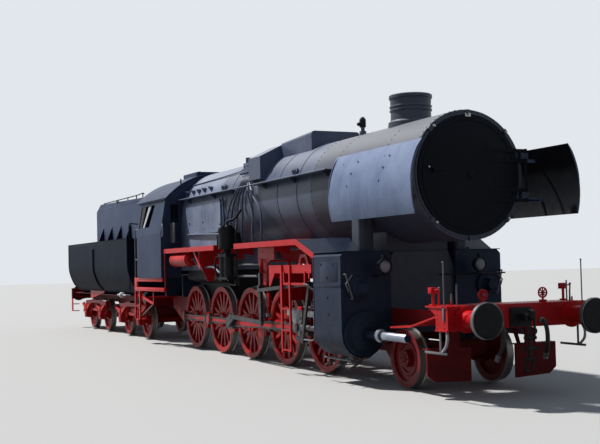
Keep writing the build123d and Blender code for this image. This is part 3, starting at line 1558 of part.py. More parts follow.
def tender_bogie(x):
    """Outside frames with axleboxes and springs, a bolster and end bars."""
    half_base = (tender_axles[0] - tender_axles[1]) / 2
    side = plate_xz(
        [(x - bogie_end, 700), (x - bogie_end, 860), (x - 500, bogie_top), (x + 500, bogie_top), (x + bogie_end, 860),
         (x + bogie_end, 700), (x + half_base + 200, 690), (x + half_base + 180, 330), (x + half_base - 180, 330),
         (x + half_base - 260, 560), (x - half_base + 260, 560), (x - half_base + 180, 330),
         (x - half_base - 180, 330), (x - half_base - 200, 690)],
        bogie_in, bogie_in + bogie_plate,
    )
    hole = block(x - 330, x + 330, bogie_in - 5, bogie_in + bogie_plate + 5, 640, 800)
    side -= fillet(hole.edges().filter_by(Axis.Y), 70)
    pieces = both_sides(side)
    pieces.append(block(x - 220, x + 220, -bogie_in, bogie_in, 560, centre_plate_z - 40))
    pieces.append(rod_z(x, 0, centre_plate_z - 40, centre_plate_z, 200))
    outside = bogie_in + bogie_plate
    for axle in (x - half_base, x + half_base):
        cover = block(axle - bogie_journal_half, axle + bogie_journal_half, outside, 1075, 345, 590)
        lid_disc = rod_y(axle, 1075, 1090, tender_radius, 100)
        pieces += both_sides(cover, lid_disc, plate_xz(spring_outline(axle), outside - 5, outside + 90))
    bogie = fused(pieces)
    for axle in (x - half_base, x + half_base):
        bogie -= rod_y(axle, -journal_out - 6, journal_out + 6, tender_radius, small_axle_radius + bearing_gap)
    return bogie - rod_z(x, 0, 500, 900, centre_pin_radius + pin_gap)


def spring_outline(x):
    """The stepped pack of six leaves over an axlebox, its ends lifted."""
    reach, leaf, top, slope = 520, 22, 700, 0.13
    half = []
    for k in range(6):
        end = reach - 70 * k
        half.append((end, top + slope * end - leaf * k))
        half.append((end, top + slope * end - leaf * (k + 1)))
    right = [(x + end, z) for end, z in half]
    left = [(x - end, z) for end, z in half[::-1]]
    return right + [(x, top - leaf * 6)] + left + [(x, top)]


write("tender_bogie_front", tender_bogie(centre_x[0]))
write("tender_bogie_rear", tender_bogie(centre_x[1]))
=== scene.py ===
import json
import math

import bmesh
import bpy
from mathutils import Matrix, Vector


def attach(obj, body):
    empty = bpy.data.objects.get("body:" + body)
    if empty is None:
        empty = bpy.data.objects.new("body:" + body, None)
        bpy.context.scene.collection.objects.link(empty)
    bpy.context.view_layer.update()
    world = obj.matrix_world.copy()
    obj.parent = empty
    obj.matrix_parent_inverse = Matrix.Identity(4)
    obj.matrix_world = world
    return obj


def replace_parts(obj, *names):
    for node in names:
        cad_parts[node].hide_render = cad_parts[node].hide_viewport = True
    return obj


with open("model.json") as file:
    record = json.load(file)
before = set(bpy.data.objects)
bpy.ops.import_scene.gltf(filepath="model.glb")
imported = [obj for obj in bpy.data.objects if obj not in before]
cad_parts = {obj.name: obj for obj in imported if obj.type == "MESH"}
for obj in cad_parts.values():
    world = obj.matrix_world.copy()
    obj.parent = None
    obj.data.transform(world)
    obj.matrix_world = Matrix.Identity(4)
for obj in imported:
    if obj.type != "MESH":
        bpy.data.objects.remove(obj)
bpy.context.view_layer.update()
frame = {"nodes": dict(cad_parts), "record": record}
nodes = frame["nodes"]

# Sizes in metres, heights above the rail head. +X is ahead, +Y the left side.
FLANGE = 0.028
BOILER_Z = 3.083
BUFFER_Y, BUFFER_Z = 0.875, 1.06
CYLINDER_Y, CYLINDER_Z = 1.1, 0.76
VALVE_Y, VALVE_Z = 1.177, 1.45
CRANK, MAIN_ROD = 0.33, 3.225
DRIVERS = [6.725, 5.075, 3.425, 1.775, 0.125]
TENDER_AXLES = [-3.775, -5.575, -7.875, -9.675]
LEADING_X = 9.325
DRIVER_RADIUS, TENDER_RADIUS, LEADING_RADIUS = 0.7, 0.465, 0.425
AHEAD, BACK, RIGHT, UP = (1, 0, 0), (-1, 0, 0), (0, -1, 0), (0, 0, 1)


# Materials

class Net:
    """The node tree of one material or of the world."""

    def __init__(self, tree):
        self.tree = tree
        tree.nodes.clear()

    def feed(self, socket, value):
        """Links an output to the socket, or writes a constant on it."""
        if isinstance(value, bpy.types.NodeSocket):
            self.tree.links.new(value, socket)
        elif isinstance(value, tuple) and socket.type == "RGBA":
            socket.default_value = (*value, 1)
        else:
            socket.default_value = value

    def node(self, kind, **values):
        made = self.tree.nodes.new(kind)
        for key, value in values.items():
            if key in made.inputs:
                self.feed(made.inputs[key], value)
            else:
                setattr(made, key, value)
        return made

    def noise(self, scale, detail=4.0, rough=0.55, stretch=None):
        """A noise in the part's own metres, stretched where a triple is given."""
        source = self.place
        if stretch:
            source = self.node("ShaderNodeMapping", Scale=stretch, Vector=source).outputs[0]
        made = self.node("ShaderNodeTexNoise", Scale=scale, Detail=detail, Roughness=rough, Vector=source)
        return made.outputs["Fac"]

    def ramp(self, value, *stops):
        made = self.node("ShaderNodeValToRGB", Fac=value)
        for element, (place, level) in zip(made.color_ramp.elements, stops):
            element.position = place
            element.color = (level, level, level, 1)
        return made.outputs[0]

    def mixed(self, amount, first, second):
        made = self.node("ShaderNodeMix", data_type="RGBA")
        for key, value in (("Factor", amount), ("A", first), ("B", second)):
            self.feed(made.inputs[key], value)
        return made.outputs["Result"]

    def calc(self, operation, *values):
        made = self.node("ShaderNodeMath", operation=operation)
        for socket, value in zip(made.inputs, values):
            self.feed(socket, value)
        return made.outputs[0]

    def axes(self, vector):
        return self.node("ShaderNodeSeparateXYZ", Vector=vector).outputs

    def spread_out(self, value, low, high):
        """Maps 0 to 1 onto low to high."""
        return self.node("ShaderNodeMapRange", **{"Value": value, "To Min": low, "To Max": high}).outputs[0]

    def bumpy(self, height, strength, distance):
        made = self.node("ShaderNodeBump", Strength=strength, Distance=distance, Height=height)
        return made.outputs[0]

    def seen_directly(self):
        """1 where the camera, a reflection or glass looks, 0 for light that only bounces."""
        path = self.node("ShaderNodeLightPath")
        mirror = self.calc("MAXIMUM", path.outputs["Is Glossy Ray"], path.outputs["Is Transmission Ray"])
        return self.calc("MAXIMUM", path.outputs["Is Camera Ray"], mirror)


class Material(Net):
    """A material with one Principled shader."""

    def __init__(self, name):
        self.mat = bpy.data.materials.new(name)
        self.mat.use_nodes = True
        super().__init__(self.mat.node_tree)
        self.place = self.node("ShaderNodeTexCoord").outputs["Object"]
        self.shader = self.node("ShaderNodeBsdfPrincipled")
        self.node("ShaderNodeOutputMaterial", Surface=self.shader.outputs[0])

    def shade(self, values):
        for key, value in values.items():
            self.feed(self.shader.inputs[key], value)
        return self.mat


def paint(name, colour, faded, dirt, rough=0.35, low=0.0, high=1.2, dirt_level=0.6, coat=0.0, streaks=0.25,
          tread=None, metal_beyond=None, shine=0.2, painted_inner_shade=None, top_highlight_and_paint=None):
    """Painted plate: patches of faded paint, streaks, grime that thickens downwards, fine bump. Where given,
    upward faces take a colour of their own (a painted highlight on boiler, firebox and smokebox, the darker
    top paint of the running boards), and the deflectors' inner faces are blackened as painted shade.
    """
    net = Material(name)
    body = net.mixed(net.ramp(net.noise(1.3, 6.0), (0.35, 0.0), (0.75, 1.0)), colour, faded)
    streak = net.ramp(net.noise(1.0, 5.0, 0.6, (9.0, 9.0, 0.7)), (0.45, 0.0), (0.8, streaks))
    body = net.mixed(streak, body, faded)
    place = net.axes(net.place)
    fall = net.node("ShaderNodeMapRange", **{
        "Value": place["Z"], "From Min": low, "From Max": high, "To Min": dirt_level, "To Max": 0.06})
    grime = net.ramp(net.noise(7.0, 8.0, 0.65), (0.3, 0.15), (0.7, 1.0))
    amount = net.calc("MULTIPLY", fall.outputs[0], grime)
    body = net.mixed(amount, body, dirt)
    fine = net.noise(60.0, 3.0)
    if tread:
        x, z, radius = tread
        dx, dz = net.calc("SUBTRACT", place["X"], x), net.calc("SUBTRACT", place["Z"], z)
        square = net.calc("ADD", net.calc("MULTIPLY", dx, dx), net.calc("MULTIPLY", dz, dz))
        reach = net.calc("SQRT", square)
        seam = net.calc("COMPARE", reach, radius - 0.056, 0.0035)
        body = net.mixed(seam, body, (0.02, 0.008, 0.008))
        bright = net.calc("GREATER_THAN", reach, radius - 0.0052)
        body = net.mixed(bright, body, net.mixed(fine, (0.26, 0.25, 0.24), (0.14, 0.13, 0.125)))
        net.shade({"Metallic": net.calc("MULTIPLY", bright, 0.6)})
    if metal_beyond:
        side, colours = metal_beyond
        away = net.calc("GREATER_THAN", net.calc("ABSOLUTE", place["X"]), side)
        body = net.mixed(away, body, net.mixed(grime, *colours))
    facing = net.axes(net.node("ShaderNodeNewGeometry").outputs["Normal"])
    # Upward faces take the colour given: a painted highlight on the tops of boiler, firebox and smokebox,
    # the darker top paint of the running boards.
    if top_highlight_and_paint:
        upward = net.ramp(facing["Z"], (0.45, 0.0), (0.95, 1.0))
        body = net.mixed(net.calc("MULTIPLY", upward, net.calc("ADD", fine, 0.3)), body, top_highlight_and_paint)
    # Faces turned towards the middle are blackened: painted shade on the deflectors' inner faces.
    if painted_inner_shade:
        outward = net.calc("MULTIPLY", facing["Y"], place["Y"])
        body = net.mixed(net.calc("LESS_THAN", outward, 0.0), body, net.mixed(grime, *painted_inner_shade))
    wear = net.calc("ADD", net.calc("MULTIPLY", fine, 0.4), net.calc("MULTIPLY", amount, 0.9))
    dents = net.calc("ADD", net.noise(3.0, 2.0), net.calc("MULTIPLY", fine, 0.22))
    return net.shade({"Base Color": body, "Roughness": net.spread_out(wear, max(0.05, rough - 0.1),
        min(1.0, rough + 0.18)), "Specular IOR Level": shine, "Coat Weight": coat, "Coat Roughness": 0.18,
        "Normal": net.bumpy(dents, 0.14, 0.005)})


def bare_steel(name, colour, oily, rough=0.3, metal=0.85):
    """Machined steel with oil films and brown spots."""
    net = Material(name)
    films = net.ramp(net.noise(5.0, 6.0), (0.4, 0.0), (0.65, 1.0))
    spots = net.ramp(net.noise(38.0, 4.0), (0.62, 0.0), (0.72, 0.6))
    scratch = net.noise(30.0, 3.0, 0.5, (0.4, 6.0, 6.0))
    wear = net.calc("MULTIPLY", net.calc("ADD", scratch, films), 0.5)
    return net.shade({"Base Color": net.mixed(spots, net.mixed(films, colour, oily), (0.07, 0.04, 0.025)),
        "Metallic": metal, "Roughness": net.spread_out(wear, rough - 0.08, rough + 0.22),
        "Normal": net.bumpy(scratch, 0.1, 0.002)})


def glassy(name, colour, clear, rough):
    """A pane with a little dust: clear is how much light goes through it."""
    net = Material(name)
    dust = net.ramp(net.noise(11.0, 6.0), (0.4, 0.0), (0.8, 1.0))
    return net.shade({
        "Base Color": net.mixed(dust, colour, tuple(0.7 * c + 0.03 for c in colour)),
        "Transmission Weight": clear, "Roughness": net.calc("ADD", net.calc("MULTIPLY", dust, 0.25), rough),
        "Specular IOR Level": 0.3, "IOR": 1.12 if clear else 1.45})


RED = ((0.58, 0.008, 0.012), (0.64, 0.018, 0.021), (0.05, 0.01, 0.008))
BUFFER_FACES = (11.431, ((0.008, 0.008, 0.01), (0.018, 0.018, 0.019)))
red = paint("red_enamel", *RED, 0.42, 0.2, 1.5, 0.55)
# A darker copy of the red enamel for frames, axleboxes, trucks, rigging and step posts: real red, darkened
# as painted shade.
frame_red_shaded = paint("frame_red_shaded", (0.17, 0.006, 0.008), (0.23, 0.011, 0.013), (0.018, 0.008, 0.007), 0.5, 0.0,
    1.3, 0.8, shine=0.12)
# The blue tint of the black paints below is a painted reflection of a blue sky.
boiler_black = paint("boiler_enamel", (0.042, 0.056, 0.1), (0.095, 0.123, 0.2), (0.048, 0.056, 0.075), 0.44,
    1.0, 3.4, 0.35, 0.0, 0.5, shine=0.34, top_highlight_and_paint=(0.22, 0.245, 0.31))
firebox_paint = paint("firebox_paint", (0.1, 0.128, 0.205), (0.27, 0.315, 0.44), (0.06, 0.07, 0.1), 0.46,
    1.0, 3.4, 0.3, 0.0, 0.5, shine=0.3, top_highlight_and_paint=(0.22, 0.245, 0.31))
smoke_black = paint("smokebox_paint", (0.005, 0.007, 0.011), (0.009, 0.011, 0.016), (0.013, 0.013, 0.015),
    0.55, 1.6, 3.6, 0.3, shine=0.06)
smoke_grey = paint("smokebox_side_paint", (0.026, 0.033, 0.053), (0.062, 0.075, 0.112),
    (0.034, 0.038, 0.048), 0.5, 1.6, 3.6, 0.3, shine=0.3, top_highlight_and_paint=(0.21, 0.21, 0.24))
board_red = paint("board_red", *RED, 0.42, 0.2, 1.5, 0.55, top_highlight_and_paint=(0.04, 0.04, 0.045))
sheet_grey = paint("deflector_paint", (0.12, 0.162, 0.285), (0.27, 0.335, 0.49), (0.06, 0.08, 0.135), 0.42,
    2.3, 3.1, 0.5, 0.0, 0.5, painted_inner_shade=((0.005, 0.006, 0.008), (0.012, 0.013, 0.016)), shine=0.16)
casing_grey = paint("pipe_casing_paint", (0.05, 0.06, 0.085), (0.08, 0.095, 0.13), (0.03, 0.032, 0.038),
    0.45, 1.6, 2.6, 0.5)
cylinder_grey = paint("cylinder_paint", (0.018, 0.027, 0.051), (0.039, 0.054, 0.096), (0.012, 0.015, 0.022),
    0.44, 0.3, 1.8, 0.75, shine=0.08)
cab_grey = paint("cab_enamel", (0.031, 0.046, 0.089), (0.055, 0.077, 0.136), (0.028, 0.034, 0.05), 0.48, 1.4,
    3.2, 0.35, 0.0, 0.4, shine=0.08)
bunker_grey = paint("bunker_enamel", (0.048, 0.069, 0.13), (0.079, 0.109, 0.19), (0.038, 0.045, 0.064), 0.48,
    2.4, 3.6, 0.35, 0.0, 0.5, shine=0.08)
# The tender's black, far darker than the bunker's: painted shade on the tub.
tender_grey_shaded = paint("tender_enamel_shaded", (0.005, 0.0085, 0.019), (0.012, 0.018, 0.034), (0.006, 0.007, 0.01),
    0.52, 0.8, 2.8, 0.6, 0.0, 0.4, shine=0.03)
frame_black = paint("frame_paint", (0.007, 0.007, 0.009), (0.016, 0.017, 0.019), (0.026, 0.022, 0.02), 0.55,
    0.0, 1.6, 0.6, shine=0.12)
buffer_paint = paint("buffer_paint", *RED, 0.4, 0.4, 1.4, 0.3, shine=0.08, metal_beyond=BUFFER_FACES)
rear_buffer_paint = paint("rear_buffer_paint", *RED, 0.42, 0.4, 1.4, 0.5, shine=0.08,
                          metal_beyond=BUFFER_FACES)
rod_steel = bare_steel("rod_steel", (0.2, 0.2, 0.21), (0.06, 0.06, 0.065), 0.34, 0.7)
# Dark steel of the rods and valve gear, darkened further as painted shade.
rod_dark_shaded = bare_steel("rod_dark_shaded", (0.035, 0.036, 0.042), (0.014, 0.014, 0.017), 0.4, 0.3)
bar_steel = bare_steel("bar_steel", (0.42, 0.43, 0.42), (0.24, 0.25, 0.24), 0.36, 0.6)
bright_steel = bare_steel("bright_steel", (0.38, 0.41, 0.48), (0.25, 0.27, 0.33), 0.3, 0.8)
pipe_grey = paint("pipe_paint", (0.16, 0.17, 0.18), (0.24, 0.25, 0.26), (0.07, 0.065, 0.06), 0.4, 0.3, 2.0,
    0.4, 0.1)
rubber = paint("hose_rubber", (0.012, 0.012, 0.012), (0.03, 0.03, 0.03), (0.05, 0.045, 0.04), 0.6, 0.0, 1.2,
    0.4)
pale_hose = paint("pale_hose", (0.55, 0.55, 0.58), (0.66, 0.66, 0.68), (0.2, 0.18, 0.17), 0.45, 0.3, 1.2,
    0.4, 0.1)
pale_rail = paint("pale_rail", (0.42, 0.44, 0.47), (0.54, 0.55, 0.58), (0.2, 0.19, 0.18), 0.45, 1.0, 3.0,
    0.3)
lamp_glass = glassy("lamp_glass", (0.3, 0.34, 0.4), 0.0, 0.12)
window_glass = glassy("window_glass", (0.03, 0.036, 0.038), 0.75, 0.03)
wood = paint("seat_wood", (0.16, 0.09, 0.045), (0.22, 0.13, 0.07), (0.06, 0.05, 0.04), 0.5, 1.6, 2.4, 0.3,
    0.1)

by_slot = {
    "red_paint": red, "wheel_red": red, "boiler_black": boiler_black, "frame_black": frame_black,
    "cab_black": cab_grey, "tender_black": tender_grey_shaded, "rod_steel": rod_steel, "lamp_black": frame_black,
}
by_node = {name: mat for mat, names in (
    (smoke_grey, "smokebox chimney"), (smoke_black, "smokebox_door"), (casing_grey, "smokebox_saddle"),
    (boiler_black, "sand_pipes"), (firebox_paint, "firebox"), (board_red, "running_boards"),
    (sheet_grey, "smoke_deflectors"), (cylinder_grey, "cylinders"), (frame_black, "air_pump"),
    (frame_red_shaded, "main_frame axleboxes leading_truck tender_frame"), (bar_steel, "slide_bars"),
    (rod_dark_shaded, "coupling_rods_left coupling_rods_right main_rod_left main_rod_right valve_gear"),
    (rod_steel, "crosshead_left crosshead_right"), (bunker_grey, "coal_bunker"),
    (buffer_paint, "front_buffers"), (rear_buffer_paint, "tender_drawgear")) for name in names.split()}
wheels = [(f"driver_wheelset_{n}", x, DRIVER_RADIUS) for n, x in enumerate(DRIVERS, start=1)]
wheels += [(f"tender_wheelset_{n}", x, TENDER_RADIUS) for n, x in enumerate(TENDER_AXLES, start=1)]
wheels.append(("leading_wheelset", LEADING_X, LEADING_RADIUS))
for name, x, radius in wheels:
    # The leading wheelset's red is halved: painted shade.
    shade = 0.5 if name == "leading_wheelset" else 1.0
    by_node[name] = paint(f"{name}_paint", (0.5 * shade, 0.008, 0.011), (0.58 * shade, 0.018, 0.02),
                          (0.05, 0.011, 0.009), 0.44, 0.0, 1.4, 0.55, tread=(x, radius + FLANGE, radius))
slot_of = {row["node"]: row["material_slot"] for row in frame["record"]["subparts"]}
for name, obj in nodes.items():
    mat = by_node.get(name) or by_slot[slot_of[name]]
    if not obj.material_slots:
        obj.data.materials.append(mat)
    for place in obj.material_slots:
        place.material = mat


# Shapes of the detail pieces

def round_point(angle, radius, along=0.0):
    return Vector((radius * math.cos(angle), radius * math.sin(angle), along))


def add_object(name, data):
    obj = bpy.data.objects.new(name, data)
    bpy.context.scene.collection.objects.link(obj)
    return obj


class Kit:
    """Collects the shapes of one piece after another."""

    def __init__(self):
        self.bm = bmesh.new()

    def box(self, x0, x1, y0, y1, z0, z1, bevel=0.0):
        middle = Matrix.Translation(((x0 + x1) / 2, (y0 + y1) / 2, (z0 + z1) / 2))
        scale = Matrix.Diagonal((abs(x1 - x0), abs(y1 - y0), abs(z1 - z0), 1))
        made = bmesh.ops.create_cube(self.bm, size=1.0, matrix=middle @ scale)
        if bevel:
            edges = list(dict.fromkeys(e for v in made["verts"] for e in v.link_edges))
            bmesh.ops.bevel(self.bm, geom=edges, offset=bevel, segments=2, affect="EDGES", profile=0.5)
        return self

    def rod(self, start, end, r0, r1=None, sides=14):
        a, b = Vector(start), Vector(end)
        turn = (b - a).to_track_quat("Z", "Y").to_matrix().to_4x4()
        bmesh.ops.create_cone(self.bm, cap_ends=True, segments=sides, radius1=r0,
            radius2=r0 if r1 is None else r1, depth=(b - a).length,
            matrix=Matrix.Translation((a + b) / 2) @ turn)
        return self

    def post(self, x, y, z0, z1, *size):
        return self.rod((x, y, z0), (x, y, z1), *size)

    def bar(self, x0, x1, y, z, *size):
        return self.rod((x0, y, z), (x1, y, z), *size)

    def across(self, x, y0, y1, z, *size):
        return self.rod((x, y0, z), (x, y1, z), *size)

    def ball(self, place, radius):
        bmesh.ops.create_uvsphere(self.bm, u_segments=14, v_segments=8, radius=radius,
                                  matrix=Matrix.Translation(place))
        return self

    def lathe(self, origin, axis, profile, sides=40, loop=False):
        """A profile of (place along the axis, radius) turned about the axis."""
        turn = Vector(axis).to_track_quat("Z", "Y")
        rings = []
        for along, radius in profile:
            count = sides if radius > 1e-6 else 1
            points = [round_point(2 * math.pi * k / sides, radius, along) for k in range(count)]
            rings.append([self.bm.verts.new(Vector(origin) + turn @ point) for point in points])
        pairs = list(zip(rings, rings[1:])) + ([(rings[-1], rings[0])] if loop else [])
        for low, high in pairs:
            for k in range(sides):
                corners = [low[k % len(low)], low[(k + 1) % len(low)], high[(k + 1) % len(high)],
                    high[k % len(high)]]
                unique = list(dict.fromkeys(corners))
                if len(unique) > 2:
                    self.bm.faces.new(unique)
        return self

    def plate(self, points, depth):
        """A flat outline pushed along the vector depth."""
        low = [self.bm.verts.new(p) for p in points]
        high = [self.bm.verts.new(Vector(p) + Vector(depth)) for p in points]
        self.bm.faces.new(low)
        self.bm.faces.new(high[::-1])
        for k in range(len(points)):
            j = (k + 1) % len(points)
            self.bm.faces.new([low[k], low[j], high[j], high[k]])
        return self

    def tube(self, points, radius, sides=10, steps=6):
        """A round pipe that runs smoothly through the points."""
        way = smooth_line([Vector(p) for p in points], steps)
        side = None
        rings = []
        for k, place in enumerate(way):
            ahead = (way[min(k + 1, len(way) - 1)] - way[max(k - 1, 0)]).normalized()
            if side is None:
                side = ahead.orthogonal().normalized()
            side = (side - ahead * side.dot(ahead)).normalized()
            other = ahead.cross(side)
            angles = [2 * math.pi * j / sides for j in range(sides)]
            rings.append([self.bm.verts.new(place + radius * (math.cos(angle) * side
                + math.sin(angle) * other)) for angle in angles])
        for low, high in zip(rings, rings[1:]):
            for j in range(sides):
                self.bm.faces.new([low[j], low[(j + 1) % sides], high[(j + 1) % sides], high[j]])
        self.bm.faces.new(rings[0])
        self.bm.faces.new(rings[-1][::-1])
        return self

    def bolts(self, places, axis, radius=0.013, height=0.009, sides=6):
        way = Vector(axis).normalized()
        for place in places:
            at = Vector(place)
            self.rod(at - way * 0.003, at + way * height, radius, radius * 0.82, sides)
        return self

    def ring_of_bolts(self, centre, axis, circle, count, radius=0.013, height=0.009, first=0.0, sides=6):
        turn = Vector(axis).to_track_quat("Z", "Y")
        points = [round_point(first + 2 * math.pi * k / count, circle) for k in range(count)]
        places = [Vector(centre) + turn @ point for point in points]
        return self.bolts(places, axis, radius, height, sides)

    def both(self, *details):
        """Ends the piece with the same shapes on the other side too."""
        made = bmesh.ops.duplicate(self.bm, geom=self.bm.verts[:] + self.bm.edges[:] + self.bm.faces[:])
        for item in made["geom"]:
            if isinstance(item, bmesh.types.BMVert):
                item.co.y = -item.co.y
        return self.done(*details)

    def done(self, name, mat, slot, body="engine"):
        bmesh.ops.recalc_face_normals(self.bm, faces=self.bm.faces[:])
        bmesh.ops.translate(self.bm, vec=(0, 0, FLANGE), verts=self.bm.verts[:])
        mesh = bpy.data.meshes.new(name)
        self.bm.to_mesh(mesh)
        self.bm.free()
        self.bm = bmesh.new()
        mesh.polygons.foreach_set("use_smooth", [True] * len(mesh.polygons))
        mesh.set_sharp_from_angle(angle=math.radians(38))
        mesh.materials.append(mat)
        obj = add_object(name, mesh)
        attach(obj, body)
        return obj


def smooth_line(points, steps):
    """Points along a smooth line through the given ones."""
    if len(points) < 3 or steps < 2:
        return points
    padded = [2 * points[0] - points[1]] + points + [2 * points[-1] - points[-2]]
    way = []
    for k in range(1, len(padded) - 2):
        a, b, c, d = padded[k - 1:k + 3]
        for j in range(steps):
            t = j / steps
            way.append(0.5 * (2 * b + (c - a) * t + (2 * a - 5 * b + 4 * c - d) * t * t
                              + (3 * b - a - 3 * c + d) * t ** 3))
    way.append(points[-1])
    return way


def spread(first, last, step):
    count = max(1, round(abs(last - first) / step))
    return [first + (last - first) * k / count for k in range(count + 1)]


# Front beam, buffers and what stands on them

kit = Kit()
face = 10.99
for z in (1.2, 0.955):
    kit.bolts([(face, y, z) for y in spread(-1.11, 1.11, 0.062)
        if abs(abs(y) - BUFFER_Y) > 0.2 and abs(y) > 0.2], AHEAD, 0.011, 0.007, 8)
for y in (0.63, 1.02, 1.07):
    kit.bolts([(face, way * y, z) for way in (-1, 1) for z in spread(0.98, 1.18, 0.05)], AHEAD, 0.011, 0.007,
        8)
kit.bolts([(10.955, y, 1.24) for y in spread(-1.12, 1.12, 0.056)], UP, 0.01, 0.006, 8)
for way in (-1, 1):
    kit.bolts([(x, way * 1.155, z) for x in (10.74, 10.9) for z in spread(0.95, 1.19, 0.06)], (0, way, 0),
        0.011, 0.006, 8)
    for dy, dz in ((-0.15, -0.1), (-0.15, 0.1), (0.15, -0.1), (0.15, 0.1)):
        kit.bar(face, face + 0.03, way * BUFFER_Y + dy, BUFFER_Z + dz, 0.02, 0.018, 6)
kit.done("beam_rivets", red, "red_paint")

kit.post(10.567, -1.1, 1.235, 1.42, 0.02).box(10.51, 10.6, -1.145, -1.055, 1.4, 1.485, 0.008)
kit.rod((10.6, -1.1, 1.45), (10.72, -1.1, 1.46), 0.01).rod((10.7, -1.1, 1.24), (10.72, -1.1, 1.47), 0.011)
kit.box(10.53, 10.61, -1.14, -1.06, 1.24, 1.26, 0.004)
for angle in range(4):
    c, s = math.cos(angle * math.pi / 4), math.sin(angle * math.pi / 4)
    kit.rod((10.86, -0.5 - 0.07 * c, 1.37 - 0.07 * s), (10.86, -0.5 + 0.07 * c, 1.37 + 0.07 * s), 0.009)
kit.lathe((10.86, -0.5, 1.37), AHEAD, [(-0.009, 0.06), (-0.009, 0.078), (0.009, 0.078), (0.009, 0.06)], 28,
    True)
kit.post(10.86, -0.5, 1.24, 1.37, 0.016).box(10.82, 10.9, -0.54, -0.46, 1.24, 1.275, 0.006)
kit.post(10.86, -1.009, 1.24, 1.3, 0.012)
kit.both("front_valves", red, "red_paint")

kit.box(10.42, 10.95, -1.162, -1.138, 0.6, 0.632, 0.004).box(10.78, 10.812, -1.158, -1.142, 0.61, 0.93,
    0.003)
kit.post(10.905, -1.15, 1.06, 1.81, 0.009).ball((10.905, -1.15, 1.815), 0.014)
kit.box(10.885, 10.925, -1.17, -1.14, 1.05, 1.24, 0.003)
kit.post(10.86, -0.919, 1.235, 1.53, 0.011).post(10.84, -0.99, 1.235, 1.4, 0.012)
kit.bar(10.86, 10.9, -0.5, 1.37, 0.014)
kit.ball((10.72, -1.1, 1.475), 0.018)
kit.both("front_step_bars", pipe_grey, "rod_steel")

kit.tube([(10.9, -1.12, 0.94), (10.95, -1.14, 0.84), (10.93, -1.15, 0.72), (10.84, -1.15, 0.635)], 0.019, 12)
kit.both("end_hoses", pale_hose, "rod_steel")

for y in (0.36, -0.36):
    kit.tube([(10.97, y, 1.0), (11.06, y, 0.98), (11.1, y * 1.02, 0.85), (11.09, y * 1.04, 0.68),
        (11.03, y * 1.1, 0.56)], 0.03, 14)
kit.done("brake_hoses", rubber, "frame_black")

for y in (0.36, -0.36):
    kit.lathe((11.035, y * 1.095, 0.57), (-0.5, y * 0.3, -0.85),
        [(0, 0.0), (0, 0.034), (0.03, 0.04), (0.07, 0.028), (0.09, 0.04), (0.1, 0.0)], 20)
    kit.lathe((10.985, y, 1.0), AHEAD, [(0, 0.0), (0, 0.045), (0.03, 0.045), (0.04, 0.034), (0.05, 0.0)], 20)
kit.done("hose_couplings", pipe_grey, "rod_steel")

for y in (-0.055, 0.055):
    kit.tube([(11.2, y, 1.08), (11.225, y, 1.0), (11.23, y, 0.86), (11.2, y * 0.9, 0.78)], 0.017, 12)
kit.across(11.2, -0.09, 0.09, 0.79, 0.028).rod((11.2, 0, 0.84), (11.17, 0, 0.5), 0.02)
kit.box(11.15, 11.21, -0.07, 0.07, 0.62, 0.67, 0.01).across(11.19, -0.15, 0.15, 0.645, 0.012)
for y in (-0.06, 0.06):
    kit.tube([(11.17, y, 0.5), (11.15, y, 0.4), (11.14, y * 0.6, 0.34), (11.14, 0, 0.33)], 0.016, 12)
kit.across(11.17, -0.08, 0.08, 0.5, 0.026)
kit.done("screw_coupling", frame_black, "frame_black")

for y in (BUFFER_Y, -BUFFER_Y):
    kit.lathe((11.436, y, BUFFER_Z), AHEAD, [(0, 0.225), (0.004, 0.2405), (0.05, 0.2412), (0.058, 0.232),
        (0.05, 0.226)], 56, True)
kit.done("buffer_rims", rod_steel, "red_paint")

# Smokebox rivets and front ring

kit.ring_of_bolts((9.9, 0, BOILER_Z), AHEAD, 0.925, 44, 0.013, 0.009, 0.05, 8)
for x in (6.59, 7.42, 8.98, 9.868):
    for k in range(64):
        angle = 2 * math.pi * k / 64
        out = Vector((0, math.cos(angle), math.sin(angle)))
        if x < 9.8 and abs(x - 8.35) < 0.8 and out.z > 0.8:
            continue
        kit.bolts([Vector((x, 0, BOILER_Z)) + out * 0.955], out, 0.012, 0.007, 8)
kit.lathe((9.9, 0, BOILER_Z), AHEAD, [(0.0, 0.89), (0.012, 0.89), (0.012, 0.915), (0.0, 0.915)], 72, True)
kit.done("smokebox_rivets", smoke_grey, "boiler_black")

# The chimney: a flared foot, two beads and a rim, as (height, radius)

kit.lathe((8.35, 0, 0), UP, [(3.95, 0.371), (4.058, 0.363), (4.088, 0.327), (4.228, 0.321), (4.236, 0.339),
    (4.26, 0.339), (4.268, 0.323), (4.29, 0.323), (4.298, 0.339), (4.318, 0.339), (4.326, 0.323),
    (4.43, 0.329), (4.44, 0.345), (4.488, 0.345), (4.5, 0.331), (4.5, 0.29), (3.95, 0.29)], 64, True)
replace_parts(kit.done("chimney_casting", smoke_grey, "boiler_black"), "chimney")

kit.lathe((9.929, 0, BOILER_Z), AHEAD, [(0.0, 0.79), (0.013, 0.795), (0.013, 0.812), (0.0, 0.82)], 72, True)
kit.lathe((9.955, 0, BOILER_Z), AHEAD, [(0, 0.0), (0, 0.07), (0.014, 0.07), (0.02, 0.05), (0.03, 0.045),
    (0.036, 0.0)], 24)
for z in (3.376, 2.79):
    kit.bolts([(9.958, y, z + off) for y in (0.42, 0.62, 0.8) for off in (-0.078, 0.078)], AHEAD, 0.014,
        0.01)
kit.bar(9.95, 9.985, -0.62, 3.15, 0.014)
kit.tube([(9.975, -0.5, 3.14), (9.982, -0.6, 3.15), (9.98, -0.72, 3.176)], 0.012, 10)
kit.done("door_fittings", smoke_black, "boiler_black", "smokebox_door")

